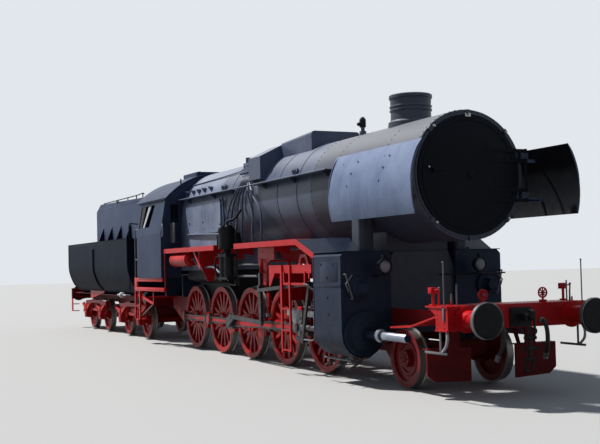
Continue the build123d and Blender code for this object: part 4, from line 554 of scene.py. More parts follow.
for y, z in ((-0.576, 3.748), (0.69, 3.77), (0.688, 2.416), (-0.62, 2.37)):
    out = Vector((0, y, z - BOILER_Z)).normalized()
    place = Vector((9.935, 0, BOILER_Z)) + out * 0.915
    kit.rod(place, place + Vector((0.03, 0, 0)), 0.02, 0.018, 6)
kit.bar(9.9, 9.96, 0, 3.968, 0.016).box(9.9, 9.93, -0.05, 0.05, 3.93, 3.99, 0.006)
kit.done("door_hooks", bar_steel, "boiler_black")

kit.ball((9.985, -0.728, 3.178), 0.018)
kit.done("door_handle_knob", bright_steel, "boiler_black", "smokebox_door")

# Smoke deflectors

curve = [(1.384, 2.48), (1.412, 2.65), (1.43, 2.85), (1.425, 3.05), (1.385, 3.22), (1.32, 3.38),
    (1.238, 3.495)]


def on_deflector(z):
    for (y0, z0), (y1, z1) in zip(curve, curve[1:]):
        if z0 <= z <= z1:
            return y0 + (y1 - y0) * (z - z0) / (z1 - z0)
    return curve[-1][0]


places = [(8.985, 3.344), (8.86, 3.178), (8.774, 2.995), (8.738, 2.81), (9.916, 3.338), (9.817, 3.18),
    (9.74, 2.996), (9.705, 2.784)]
kit.bolts([(x, -on_deflector(z), z) for x, z in places], (0, -1, 0.15), 0.016, 0.008, 8)
kit.bolts([(x, -on_deflector(2.52), 2.52) for x in spread(8.25, 10.55, 0.38)], RIGHT, 0.012, 0.006, 8)
for x in (8.19, 10.61):
    kit.tube([(x, -(y - 0.007), z) for y, z in curve], 0.011, 8, 2)
kit.both("deflector_bolts", sheet_grey, "frame_black")

for x in (8.507, 9.757):
    kit.across(x, -1.0, -1.38, 2.73, 0.012)
    kit.bolts([(x, -1.36, 2.76)], UP, 0.014, 0.01)
kit.both("deflector_stays", smoke_black, "frame_black")

# Cylinders: casing plates, bolts, covers, tail rods and drain pipes

out = 1.465
kit.box(7.645, 8.598, -out - 0.005, -out + 0.002, 1.475, 1.51, 0.002)
kit.box(7.9, 8.49, -out - 0.004, -out + 0.002, 1.56, 1.86, 0.003)
for x0, x1 in ((7.642, 7.668), (8.574, 8.6)):
    kit.box(x0, x1, -out - 0.005, -out + 0.002, 0.78, 1.95, 0.002)
kit.bolts([(7.918, -1.469, 1.83), (8.353, -1.469, 1.83), (8.129, -1.469, 1.623), (8.123, -out, 1.315),
           (8.137, -out, 1.057)], RIGHT, 0.022, 0.01, 10)
kit.bolts([(x, -out, z) for x in (7.655, 8.587) for z in spread(0.82, 1.92, 0.11)], RIGHT, 0.008, 0.008, 8)
kit.bolts([(x, -1.47, 1.4925) for x in spread(7.7, 8.55, 0.085)], RIGHT, 0.008, 0.004, 8)
kit.box(7.645, 8.622, -1.452, -0.62, 2.01, 2.024, 0.003)
kit.ring_of_bolts((8.66, -CYLINDER_Y, CYLINDER_Z), AHEAD, 0.3, 18, 0.018, 0.022)
kit.ring_of_bolts((8.645, -VALVE_Y, VALVE_Z), AHEAD, 0.165, 12, 0.014, 0.018)
kit.ring_of_bolts((7.59, -CYLINDER_Y, CYLINDER_Z), BACK, 0.285, 16, 0.016, 0.02)
kit.ring_of_bolts((7.595, -VALVE_Y, VALVE_Z), BACK, 0.165, 12, 0.013, 0.016)
kit.plate([(8.0, -1.455, 1.0), (8.02, -1.462, 0.9), (8.26, -1.462, 0.9), (8.28, -1.455, 1.0)],
    (0, -0.006, 0))
kit.both("cylinder_bolts", cylinder_grey, "frame_black")

kit.lathe((8.6, -CYLINDER_Y, CYLINDER_Z), AHEAD, [(0.018, 0.336), (0.022, 0.342), (0.046, 0.342),
    (0.05, 0.336)], 64, True)
kit.lathe((8.6, -VALVE_Y, VALVE_Z), AHEAD, [(0.04, 0.13), (0.06, 0.128), (0.085, 0.115), (0.1, 0.085),
    (0.106, 0.04), (0.108, 0.0)], 40)
kit.both("cylinder_covers", cylinder_grey, "frame_black")

kit.lathe((9.235, -CYLINDER_Y, CYLINDER_Z), AHEAD,
    [(0, 0.0), (0, 0.064), (0.63, 0.064), (0.646, 0.058), (0.652, 0.04), (0.654, 0.0)], 32)
kit.lathe((9.09, -CYLINDER_Y, CYLINDER_Z), AHEAD, [(0, 0.056), (0, 0.092), (0.02, 0.1), (0.05, 0.1),
    (0.07, 0.078), (0.07, 0.056)], 36, True)
kit.both("tail_rods", bright_steel, "frame_black")

for y0, z0, y1, z1 in ((-1.43, 1.67, -1.32, 1.3), (-1.32, 1.66, -1.43, 1.52), (-1.43, 1.52, -1.38, 1.4)):
    kit.rod((8.69, y0, z0), (8.69, y1, z1), 0.011)
kit.bar(8.6, 8.69, -1.43, 1.67, 0.012).bar(8.6, 8.69, -1.32, 1.3, 0.012)
kit.tube([(7.56, -1.43, 1.02), (7.6, -1.44, 0.9), (7.58, -1.44, 0.64), (7.2, -1.44, 0.61)], 0.013)
kit.bar(7.66, 8.56, -1.3, 0.36, 0.014)
for x in (7.72, 8.12, 8.5):
    kit.tube([(x, -1.12, 0.41), (x, -1.12, 0.34), (x + 0.03, -1.2, 0.29), (x + 0.1, -1.38, 0.25)], 0.016)
    kit.rod((x, -1.12, 0.37), (x, -1.3, 0.36), 0.009)
kit.tube([(7.55, -1.2, 1.1), (7.3, -1.2, 1.12), (7.1, -1.2, 1.11), (6.72, -1.2, 1.12)], 0.014)
kit.box(6.9, 7.5, -1.16, -1.12, 1.13, 1.16, 0.004)
for x in (6.95, 7.18, 7.42):
    kit.lathe((x, -1.14, 1.16), UP, [(0, 0.0), (0, 0.03), (0.05, 0.034), (0.06, 0.02), (0.08, 0.02),
        (0.085, 0.0)], 18)
kit.both("cylinder_pipes", pipe_grey, "rod_steel")

# Lamps

for y in (0.865, -0.865):
    kit.lathe((8.9, y, 1.776), AHEAD, [(0.0, 0.094), (0.006, 0.09), (0.016, 0.06), (0.02, 0.0)], 40)
kit.done("lamp_glasses", lamp_glass, "lamp_black")

for y in (0.865, -0.865):
    kit.lathe((8.9, y, 1.776), AHEAD, [(0.0, 0.1), (0.0, 0.122), (0.018, 0.124), (0.024, 0.112),
        (0.018, 0.1)], 40, True)
    kit.post(8.86, y, 1.89, 1.93, 0.03, 0.02).post(8.86, y, 1.93, 1.945, 0.036, 0.03)
    kit.across(8.88, y - 0.1, y - 0.14, 1.8, 0.014)
kit.across(8.74, 0.2, 1.45, 1.63, 0.012)
kit.done("lamp_rims", frame_black, "lamp_black")

# Rods: red flutes, oil cups, keys

for side, way, dx, dz in (("left", 1, 0.0, -CRANK), ("right", -1, -CRANK, 0.0)):
    pins = sorted(x + dx for x in DRIVERS)
    z = DRIVER_RADIUS + dz
    y0, y1 = way * 0.9755, way * 0.9805
    for rear, front in zip(pins, pins[1:]):
        kit.box(rear + 0.175, front - 0.175, y0, y1, z - 0.034, z + 0.034, 0.001)
    for x in pins:
        kit.lathe((x, way * 0.965, z + 0.112), UP,
            [(0.0, 0.034), (0.034, 0.034), (0.036, 0.03), (0.036, 0.0)], 20)
    kit.done(f"side_rod_flutes_{side}", red, "red_paint", f"side_rods_{side}")

    for x in pins:
        kit.ring_of_bolts((x, way * 1.006, z), (0, way, 0), 0.094, 6, 0.009, 0.005)
    for rear, front in zip(pins, pins[1:]):
        for x in (rear + 0.135, front - 0.135):
            kit.box(x - 0.02, x + 0.02, way * 0.94, way * 0.999, z - 0.07, z + 0.07, 0.004)
    kit.done(f"side_rod_keys_{side}", rod_dark_shaded, "rod_steel", f"side_rods_{side}")
    big = Vector((DRIVERS[2] + dx, 0, DRIVER_RADIUS + dz))
    reach = math.sqrt(MAIN_ROD ** 2 - (CYLINDER_Z - big.z) ** 2)
    small = Vector((big.x + reach, 0, CYLINDER_Z))
    along = (small - big).normalized()
    up = Vector((-along.z, 0, along.x))
    start, end = big + along * 0.26, small - along * 0.26
    kit.plate([point + Vector((0, way * 1.1135, 0)) for point in (
        start - up * 0.048, end - up * 0.03, end + up * 0.03, start + up * 0.048)], (0, way * 0.005, 0))
    kit.done(f"main_rod_flute_{side}", red, "red_paint", f"main_rod_{side}")

    middle = Vector((0, way * 1.1, 0))
    for shift in (-0.11, 0.11):
        at = big + along * shift
        for rise in (up, -up):
            kit.rod(at + rise * 0.1 + middle, at + rise * 0.135 + middle, 0.02, 0.018, 6)
    kit.rod(big + up * 0.11 + Vector((0, way * 1.09, 0)), big + up * 0.165 + Vector((0, way * 1.09, 0)),
        0.028, 0.026)
    kit.done(f"big_end_bolts_{side}", rod_steel, "rod_steel", f"main_rod_{side}")
    kit.box(small.x + 0.02, small.x + 0.2, way * 1.1655, way * 1.178, 0.905, 0.94, 0.004)
    kit.bolts([(small.x + dx2, way * 1.165, 1.07) for dx2 in (-0.16, -0.05, 0.07, 0.18)], (0, way, 0), 0.014,
        0.012)
    kit.done(f"crosshead_bolts_{side}", rod_steel, "rod_steel", f"crosshead_{side}")

kit.box(7.2, 7.4, -1.142, -1.134, 0.952, 1.04, 0.004)
kit.box(6.46, 6.62, -1.2, -1.14, 1.06, 1.12, 0.006)
kit.both("slide_bar_blocks", red, "red_paint")

for n, x in enumerate(DRIVERS, start=1):
    for way in (-1, 1):
        kit.lathe((x, way * 0.832, DRIVER_RADIUS), (0, way, 0),
            [(-0.004, 0.0), (-0.004, 0.1), (0.008, 0.1), (0.012, 0.09), (0.014, 0.04), (0.006, 0.034),
            (0.006, 0.0)], 32)
        kit.ring_of_bolts((x, way * 0.842, DRIVER_RADIUS), (0, way, 0), 0.068, 6, 0.011, 0.006)
    kit.done(f"axle_ends_{n}", rod_steel, "wheel_red", f"driver_{n}")

for way in (-1, 1):
    kit.lathe((LEADING_X, way * 0.838, LEADING_RADIUS), (0, way, 0),
        [(-0.004, 0.0), (-0.004, 0.07), (0.01, 0.066), (0.012, 0.0)], 28)
    kit.ring_of_bolts((LEADING_X, way * 0.838, LEADING_RADIUS), (0, way, 0), 0.098, 8, 0.012, 0.008)
kit.done("leading_axle_ends", frame_red_shaded, "wheel_red", "leading_wheels")

# Bolts of motion brackets and running boards, pump pipes, reservoir bands and side pipes

for x in spread(5.62, 7.28, 0.12):
    kit.bolts([(x, -1.33, 1.715), (x, -1.33, 1.805)], RIGHT, 0.01, 0.006, 8)
kit.bolts([(x, -1.175, z) for x, z in ((4.95, 2.08), (5.2, 2.08), (5.4, 2.06), (4.85, 1.96), (5.0, 1.7),
    (5.03, 1.55), (4.97, 1.44), (5.2, 1.96))], RIGHT, 0.014, 0.009)
kit.bolts([(x, -1.45, 2.19) for x in spread(-0.2, 3.0, 0.4) + spread(4.25, 6.9, 0.4)], RIGHT, 0.01, 0.005, 8)
kit.bolts([(2.126, y, z) for y, z in ((-1.4, 2.18), (-1.4, 2.02), (-1.28, 1.8), (-1.2, 1.62), (-1.2, 1.9),
    (-1.15, 2.1))], BACK, 0.016, 0.012)
kit.tube([(4.98, -1.2, 1.95), (4.98, -1.24, 1.8), (4.96, -1.24, 1.62)], 0.02)
kit.post(5.15, -1.18, 1.4, 0.95, 0.02).box(5.08, 5.22, -1.2, -1.16, 1.08, 1.32, 0.006)
kit.box(4.86, 4.9, -1.2, -1.176, 1.4, 1.95, 0.004)
kit.both("bracket_bolts", red, "red_paint")

kit.post(5.15, -1.18, 0.96, 0.9, 0.045)
kit.rod((-0.2, -1.15, 1.87), (4.75, -1.15, 1.855), 0.017)
kit.bar(3.65, 4.6, -1.15, 1.636, 0.02)
kit.rod((4.75, -1.15, 1.855), (4.95, -1.21, 1.7), 0.02)
kit.tube([(7.06, -1.36, 1.51), (7.2, -1.36, 1.5), (7.3, -1.3, 1.42), (7.45, -1.2, 1.45)], 0.012)
kit.both("reach_rods", pipe_grey, "rod_steel")

for z in (2.2, 2.54, 2.6):
    kit.ring_of_bolts((3.4, -1.29, z), UP, 0.15 if z < 2.6 else 0.1, 10, 0.012, 0.02)
kit.tube([(3.4, -1.29, 2.63), (3.42, -1.27, 2.72), (3.5, -1.15, 2.78), (3.6, -1.05, 2.95)], 0.024)
kit.tube([(3.27, -1.36, 2.05), (3.12, -1.42, 2.0), (3.06, -1.42, 1.8), (3.08, -1.38, 1.6)], 0.018)
kit.tube([(3.66, -1.2, 2.5), (3.68, -1.2, 2.2), (3.68, -1.2, 1.7), (3.68, -1.15, 1.45)], 0.018)
kit.tube([(3.53, -1.2, 1.58), (3.5, -1.15, 1.5), (3.3, -1.1, 1.46), (2.9, -1.05, 1.46)], 0.018)
for x in (3.18, 3.34, 3.47, 3.62):
    kit.post(x, -1.4, 2.03, 2.11, 0.02, 0.016, 8)
kit.done("pump_pipes", frame_black, "frame_black")

for x, z in ((3.22, 2.7), (3.58, 2.64), (3.2, 1.58), (3.6, 1.585), (3.3, 2.12), (3.55, 2.1)):
    kit.ball((x, -1.36, z - 0.02), 0.02)
kit.rod((3.316, -1.12, 2.52), (3.335, -1.2, 2.3), 0.01)
kit.done("pump_cocks", pipe_grey, "rod_steel")

for way in (-1, 1):
    for x in (0.2, 1.19):
        kit.lathe((x, way * 1.3, 2.0), AHEAD, [(-0.03, 0.143), (-0.026, 0.1515), (0.026, 0.1515),
            (0.03, 0.143)], 48, True)
    for x in (0.35, 1.04):
        kit.lathe((x, way * 1.3, 2.0), AHEAD, [(-0.02, 0.144), (-0.018, 0.1495), (0.018, 0.1495),
            (0.02, 0.144)], 48, True)
        kit.post(x, way * 1.36, 1.84, 1.88, 0.014)
    kit.bar(1.255, 1.3, way * 1.3, 2.0, 0.03, 0.02)
    kit.ring_of_bolts((1.255, way * 1.3, 2.0), AHEAD, 0.06, 6, 0.01, 0.008)
kit.done("reservoir_bands", red, "red_paint")

kit.tube([(1.3, -1.3, 2.0), (1.45, -1.3, 2.0), (1.6, -1.3, 1.9), (1.9, -1.3, 1.82), (2.6, -1.3, 1.82),
    (3.0, -1.3, 1.7)], 0.02)
kit.tube([(0.15, -1.02, 2.565), (1.2, -1.035, 2.54), (2.2, -1.035, 2.51), (2.36, -1.03, 2.5)], 0.022)
kit.tube([(2.36, -1.03, 2.5), (2.46, -1.02, 2.6), (2.5, -1.0, 2.76), (2.45, -0.99, 3.05), (2.42, -1.0, 3.3)],
    0.022)
kit.tube([(3.3, -1.08, 2.36), (3.32, -1.05, 2.55), (3.34, -1.04, 2.7)], 0.024)
kit.both("side_pipes", boiler_black, "boiler_black")

# Boiler: washout covers, firebox bolts, valve cluster, lids of the casing and the whistle

kit.tube([(-0.2, -0.72, 3.73), (0.6, -0.715, 3.742), (1.8, -0.7, 3.765), (2.73, -0.69, 3.79)], 0.014)
kit.tube([(2.73, -0.69, 3.79), (2.95, -0.66, 3.85), (3.07, -0.62, 3.86)], 0.014)
for x, angle in [(x, 62) for x in (-0.11, 0.255, 0.625, 0.99, 1.41)] + [(2.297, 66), (5.844, 66)]:
    size = 0.05 if angle == 62 else 0.085
    turn = math.radians(angle)
    out = Vector((0, -math.sin(turn), math.cos(turn)))
    at = Vector((x, 0, BOILER_Z)) + out * 1.0
    kit.rod(at, at + out * 0.03, size * 0.7, size * 0.55, 20)
    kit.rod(at + out * 0.03, at + out * 0.055, size * 0.34, size * 0.3, 6)
kit.bolts([(x, -1.012, z) for x in (0.2, 0.75, 1.3, 1.9) for z in (2.66, 3.16)], RIGHT, 0.014, 0.008)
kit.bolts([(x, -1.012, z) for x in (0.35, 1.25) for z in (2.8, 2.83)], RIGHT, 0.02, 0.012)
for x in (3.3, 3.39, 3.48, 3.57, 3.66, 3.74):
    kit.tube([(x, -0.928, 3.47), (x - 0.004, -0.9, 3.53), (x - 0.02, -0.83, 3.62)], 0.022)
kit.box(3.2, 3.78, -0.86, -0.74, 3.56, 3.66, 0.02)
kit.bolts([(x, -0.764, z) for x in (3.12, 3.3, 3.5) for z in (3.64, 3.86)], RIGHT, 0.02, 0.014)
for x in (3.1, 3.25, 3.42, 3.58):
    kit.across(x, -0.8, -0.86, 3.7, 0.024, 0.02, 8).post(x, -0.62, 3.9, 3.99, 0.026, 0.02, 8)
kit.both("boiler_caps", boiler_black, "boiler_black")

for x in (4.62, 4.86):
    kit.lathe((x, 0, 4.222), UP, [(0, 0.0), (0, 0.09), (0.02, 0.09), (0.03, 0.06), (0.03, 0.0)], 28)
kit.bolts([(x, way * 0.5, z) for x in spread(4.45, 5.65, 0.2) for way in (-1, 1) for z in (3.75, 4.15)],
    (0, 1, 0), 0.012, 0.004, 8)
for x in (3.06, 3.72):
    kit.box(x - 0.02, x + 0.02, -0.503, 0.503, 3.7, 3.9, 0.004)
kit.box(3.2, 3.6, -0.2, 0.2, 4.085, 4.125, 0.012)
kit.box(3.9, 4.24, -0.3, 0.3, 4.148, 4.185, 0.014)
for y in (-0.32, 0.32):
    kit.bar(3.9, 4.24, y, 4.16, 0.014)
kit.box(5.0, 5.5, -0.25, 0.25, 4.235, 4.262, 0.01)
kit.done("casing_lids", boiler_black, "boiler_black")

kit.lathe((6.75, 0, 4.2), UP, [(0, 0.0), (0, 0.056), (0.12, 0.058), (0.15, 0.05), (0.18, 0.02), (0.18, 0.0)],
    28)
kit.across(6.75, -0.075, 0.0, 4.24, 0.02).ball((6.75, -0.08, 4.25), 0.034)
kit.tube([(6.75, 0.06, 4.08), (6.6, 0.12, 4.07), (6.2, 0.3, 4.02), (5.75, 0.42, 3.96)], 0.012)
kit.done("whistle_head", frame_black, "boiler_black")

# Cab: frames, panes, handles, rain strips, backhead and seats


def lean(x, z, out=0.0):
    """A point on the cab's upper side, which leans inwards, or out metres off it."""
    return Vector((x, -(1.5 - (z - 2.64) * 0.13 / 0.79) - out, z))


def leaning_pane(low0, low1, high1, high0, z0, z1, out, depth):
    kit.plate([lean(low0, z0, out), lean(low1, z0, out), lean(high1, z1, out), lean(high0, z1, out)],
        (0, depth, 0))


corners = [(-2.205, 2.775), (-1.286, 2.775), (-0.985, 3.37), (-2.205, 3.37)]
inner = [(-2.165, 2.812), (-1.31, 2.812), (-1.045, 3.333), (-2.165, 3.333)]
for k in range(4):
    j = (k + 1) % 4
    kit.plate([lean(*corners[k]), lean(*corners[j]), lean(*inner[j]), lean(*inner[k])], (0, 0.034, 0))
kit.both("window_frames", cab_grey, "cab_black")

for ends in ((-1.88, -1.76, -1.4, -1.6), (-2.12, -2.07, -1.93, -2.0)):
    leaning_pane(*ends, 2.8, 3.345, -0.016, 0.016)
kit.both("window_posts", pale_rail, "cab_black")

leaning_pane(-2.17, -1.95, -1.83, -2.17, 2.8, 3.345, -0.012, 0.006)
kit.both("window_panes", window_glass, "cab_black")

for y in (-1.155, 1.155):
    kit.plate([(-0.318, y + dy, z) for dy, z in ((-0.1, 2.862), (0.1, 2.862), (0.1, 3.3), (-0.1, 3.3))],
        (0.006, 0, 0))
kit.done("spectacle_panes", window_glass, "cab_black")

kit.tube([(-0.3, -1.46, 2.83), (-0.25, -1.47, 2.825), (-0.235, -1.472, 2.7), (-0.25, -1.472, 2.575),
          (-0.3, -1.47, 2.57)], 0.016, 10, 4)
kit.both("cab_handles_front", pale_rail, "rod_steel")

kit.post(-2.6, -1.45, 1.25, 2.84, 0.016).ball((-2.6, -1.45, 2.84), 0.016)
for z in (1.28, 2.05, 2.8):
    kit.bar(-2.6, -2.25, -1.45, z, 0.013)
kit.both("cab_rails", pipe_grey, "rod_steel")

kit.post(-2.255, -1.478, 1.7, 2.6, 0.013)
kit.post(-2.3, -1.3, 1.7, 3.2, 0.014)
for z in (1.72, 2.4, 3.18):
    kit.bar(-2.3, -2.26, -1.3, z, 0.012)
kit.rod((-1.262, -1.43, 0.95), (-2.165, -1.43, 0.66), 0.013)
kit.box(-0.3, -0.02, -1.262, -1.238, 2.4, 2.865, 0.004)
kit.both("cab_handles", pipe_grey, "rod_steel")

# The steps below the cab: two bars, a ladder at the rear, a slanted brace and the hangers off the frame

kit.box(-2.6, -0.3, -1.48, -1.44, 1.51, 1.6, 0.004).box(-2.6, -0.17, -1.48, -1.41, 1.28, 1.37, 0.004)
kit.box(-2.6, -2.37, -1.48, -1.44, 1.37, 1.51, 0.003)
for x in (-2.6, -2.21):
    kit.box(x, x + 0.06, -1.48, -1.44, 0.56, 1.29, 0.003)
for z in (0.56, 0.89):
    kit.box(-2.6, -2.15, -1.48, -1.24, z, z + 0.02, 0.003)
kit.plate([(-2.6, -1.44, 1.165), (-2.6, -1.44, 1.235), (-1.14, -1.44, 1.01), (-1.14, -1.44, 0.95)],
    (0, 0.02, 0))
kit.box(-1.18, -1.14, -1.44, -1.42, 0.95, 1.29, 0.002)
kit.box(-2.17, -2.11, -1.44, -0.6, 1.08, 1.13, 0.003).box(-2.17, -2.11, -1.44, -1.41, 1.08, 1.285, 0.002)
steps = kit.both("cab_step_frames", red, "red_paint")
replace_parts(steps, "cab_steps")

kit.bolts([(x, -1.48, 1.555) for x in spread(-2.5, -0.4, 0.2)], RIGHT, 0.01, 0.006, 8)
kit.bolts([(x, -1.48, 1.325) for x in spread(-2.5, -0.25, 0.25)], RIGHT, 0.01, 0.006, 8)
kit.both("cab_step_bolts", red, "red_paint")

kit.tube([(-2.415, -1.4, 3.44), (-1.4, -1.405, 3.44), (-0.255, -1.4, 3.44)], 0.012, 8)
leaning_pane(-2.265, -0.305, -0.305, -2.265, 3.38, 3.41, 0.0, -0.006)
kit.box(-0.302, -0.296, -1.0, -0.97, 3.0, 3.9, 0.0)
for x in (-2.4, -1.35, -0.27):
    points = [Vector((x, y, 4.062 - 0.652 * (y / 1.41) ** 2 - 0.01 * math.cos(y)))
        for y in spread(0.0, -1.36, 0.17)]
    kit.tube(points, 0.012, 6, 1)
kit.both("roof_strips", cab_grey, "cab_black")

# The roof's rear overhang, its hatch, and the posts between the cab's steps and the board


def roof_arc(radius, half, count=28):
    """Points of the roof's section at a radius about the roof's own centre."""
    return [Vector((-2.69, y, 2.212 + math.sqrt(radius ** 2 - y ** 2)))
            for y in spread(-half, half, 2 * half / count)]


kit.plate(roof_arc(1.848, 1.37) + roof_arc(1.83, 1.35)[::-1], (0.275, 0, 0))
kit.done("roof_overhang", cab_grey, "cab_black")

kit.box(-0.2, -0.165, -1.45, -1.42, 1.24, 2.17, 0.003).box(-0.4, -0.165, -1.448, -1.424, 1.815, 1.845, 0.003)
kit.both("step_front_posts", frame_red_shaded, "red_paint")

kit.box(-1.75, -0.85, -0.36, 0.36, 4.112, 4.128, 0.006)
for y in (-0.3, 0.3):
    kit.box(-1.72, -0.88, y - 0.015, y + 0.015, 4.118, 4.14, 0.004)
kit.ring_of_bolts((-1.3, 0, 4.128), UP, 0.05, 6, 0.008, 0.006)
kit.done("roof_hatch", cab_grey, "cab_black")

kit.lathe((-0.462, 0, 2.25), BACK, [(0, 0.0), (0, 0.24), (0.03, 0.24), (0.045, 0.2), (0.05, 0.0)], 40)
kit.box(-0.54, -0.46, -0.3, 0.3, 1.93, 2.0, 0.01).box(-0.5, -0.46, -0.26, 0.26, 2.52, 2.56, 0.006)
for y, z in ((-0.55, 3.1), (0.0, 3.3), (0.55, 3.1), (-0.35, 3.55), (0.35, 3.55)):
    kit.lathe((-0.465, y, z), BACK, [(0, 0.0), (0, 0.085), (0.03, 0.085), (0.035, 0.075), (0.03, 0.07),
        (0.03, 0.0)], 28)
kit.bar(-0.46, -0.6, -0.2, 2.9, 0.03).rod((-0.58, -0.2, 2.9), (-0.62, 0.35, 3.0), 0.016)
kit.post(-0.46, 0.45, 2.3, 3.0, 0.02).post(-0.48, -0.45, 2.4, 2.9, 0.018)
kit.tube([(-0.47, 0.0, 3.55), (-0.52, 0.2, 3.6), (-0.5, 0.5, 3.5), (-0.47, 0.7, 3.2)], 0.014)
kit.post(-0.75, -0.95, 1.64, 2.5, 0.035)
kit.lathe((-0.78, -0.95, 2.5), BACK, [(0, 0.16), (0, 0.19), (0.02, 0.19), (0.02, 0.16)], 32, True)
for k in range(3):
    c, s = math.cos(k * math.pi / 3), math.sin(k * math.pi / 3)
    kit.rod((-0.79, -0.95 - 0.17 * c, 2.5 - 0.17 * s), (-0.79, -0.95 + 0.17 * c, 2.5 + 0.17 * s), 0.012)
kit.done("backhead_fittings", frame_black, "boiler_black")

for y in (-1.18, 1.18):
    kit.box(-1.25, -0.85, y - 0.2, y + 0.2, 2.108, 2.15, 0.012)
    kit.box(-1.25, -1.21, y - 0.2, y + 0.2, 2.15, 2.4, 0.01)
kit.box(-2.2, -0.6, -1.1, 1.1, 1.641, 1.65, 0.002)
kit.done("cab_wood", wood, "cab_black")

# The tub: its top edge, the pipe down its side, seams, front rails and rivets

kit.box(-10.2, -3.25, -1.479, -1.44, 2.598, 2.622, 0.004)
skin = [(1.475, 2.38), (1.475, 2.1), (1.474, 1.98), (1.458, 1.78), (1.4, 1.58), (1.306, 1.38), (1.19, 1.245)]
for x in (-6.95, -6.85):
    kit.tube([(x, -(y + 0.012), z) for y, z in skin], 0.011, 8, 3)
kit.tube([(-6.95, -1.487, 2.38), (-6.93, -1.487, 2.42), (-6.87, -1.487, 2.42), (-6.85, -1.487, 2.38)], 0.011,
    8, 4)
for x in (-3.28, -10.17):
    kit.tube([(x, -y, z) for y, z in [(1.475, 2.6)] + skin], 0.013, 8, 2)
kit.post(-3.31, -1.4, 1.3, 2.9, 0.016)
kit.tube([(-3.31, -1.4, 2.9), (-3.33, -1.38, 2.98), (-3.5, -1.3, 3.0), (-3.9, -0.92, 3.0)], 0.016)
for z in (1.5, 2.05, 2.6):
    kit.rod((-3.31, -1.4, z), (-3.24, -1.38, z), 0.012)
kit.bolts([(x, -1.475, 2.56) for x in spread(-10.1, -3.35, 0.25)], RIGHT, 0.008, 0.005, 8)
kit.tube([(-6.24, -0.9, 3.64), (-6.24, -0.92, 3.78), (-6.1, -0.93, 3.79), (-6.0, -0.93, 3.72)], 0.014)
for x in (-4.872, -5.872, -6.872, -7.872):
    kit.bolts([(x + 0.014, -0.915, z) for z in spread(2.65, 3.0, 0.09)], AHEAD, 0.009, 0.006, 8)
kit.both("tender_edges", tender_grey_shaded, "tender_black", "tender")

# The bunker's full outline: sides that rise to a cut rear corner, with front, back and its rail's front end

rim = [(-3.7, 2.6), (-3.7, 3.7), (-8.19, 3.79), (-8.705, 3.59), (-8.705, 2.6)]
kit.plate([(x, -0.901, z) for x, z in rim], (0, -0.01, 0))
kit.box(-3.712, -3.7, -0.905, -0.35, 2.6, 3.7).box(-3.712, -3.7, -0.351, 0.0, 3.2, 3.7)
kit.box(-3.972, -3.712, -0.905, -0.35, 3.64, 3.695).box(-3.972, -3.712, -0.351, 0.0, 3.64, 3.695)
kit.box(-8.715, -8.703, -0.905, 0.0, 2.6, 3.59)
kit.plate([(-8.703, -0.905, 3.59), (-8.19, -0.905, 3.79), (-8.19, -0.905, 3.778), (-8.703, -0.905, 3.578)],
    (0, 0.905, 0))
kit.both("bunker_rim", bunker_grey, "tender_black", "tender")

kit.tube([(-4.34, -0.894, 3.8), (-4.0, -0.894, 3.81), (-3.74, -0.894, 3.82), (-3.62, -0.894, 3.79)], 0.014,
    8)
kit.post(-3.74, -0.894, 3.6, 3.82, 0.014)
kit.both("bunker_rail_front", tender_grey_shaded, "tender_black", "tender")

kit.box(-8.15, -3.95, -0.915, -0.885, 3.622, 3.648, 0.004)
kit.bolts([(x, -0.9, z) for x in spread(-8.0, -4.05, 0.28) for z in (3.58, 2.66)], RIGHT, 0.009, 0.006, 8)
kit.box(-3.96, -3.93, -0.9, -0.36, 2.62, 3.62, 0.004)
for z in (2.9, 3.2, 3.5):
    kit.across(-3.925, -0.9, -0.4, z, 0.01)
kit.both("bunker_edges", bunker_grey, "tender_black", "tender")

kit.bar(-4.89, -4.06, -1.3, 1.13, 0.022)
kit.lathe((-4.56, -1.3, 1.13), AHEAD, [(0, 0.0), (0, 0.05), (0.03, 0.075), (0.15, 0.075), (0.18, 0.05),
    (0.18, 0.0)], 24)
for x in (-4.86, -4.09):
    kit.across(x, -1.3, -1.17, 1.13, 0.02)
kit.tube([(-3.2, -1.0, 1.2), (-3.05, -1.1, 1.15), (-2.95, -1.12, 0.98), (-2.85, -1.0, 0.95)], 0.035)
kit.both("tender_hoses", pale_hose, "tender_black", "tender")

# A near-black strip below the tub's top edge: painted shade of a groove.
kit.box(-10.19, -3.26, -1.479, -1.46, 2.55, 2.562, 0.002)
kit.both("tub_edge_shade_line", frame_black, "tender_black", "tender")

kit.box(-10.86, -10.8, -1.0, -0.7, 1.0, 1.2, 0.006)
for y in (-0.9, 0.9):
    kit.lathe((-10.88, y, 1.5), BACK, [(-0.08, 0.0), (-0.08, 0.06), (0, 0.1), (0.03, 0.1), (0.035, 0.08),
        (0.02, 0.0)], 32)
    kit.post(-10.84, y, 1.24, 1.42, 0.016)
    kit.bar(-10.3, -10.2, y, 1.45, 0.014).post(-10.3, y, 1.45, 2.3, 0.014)
    kit.bar(-10.3, -10.2, y, 2.3, 0.014)
kit.bolts([(-10.2, y, 2.55) for y in spread(-1.3, 1.3, 0.13)], BACK, 0.01, 0.006, 8)
kit.bolts([(-10.2, way * 1.4, z) for way in (-1, 1) for z in spread(2.0, 2.5, 0.1)], BACK, 0.01, 0.006, 8)
kit.done("tender_rear_fittings", frame_black, "tender_black", "tender")

for y in (-0.36, 0.36):
    kit.tube([(-10.86, y, 1.0), (-10.96, y, 0.97), (-11.0, y, 0.8), (-10.95, y * 1.1, 0.6)], 0.03, 14)
kit.done("rear_brake_hoses", rubber, "tender_black", "tender")

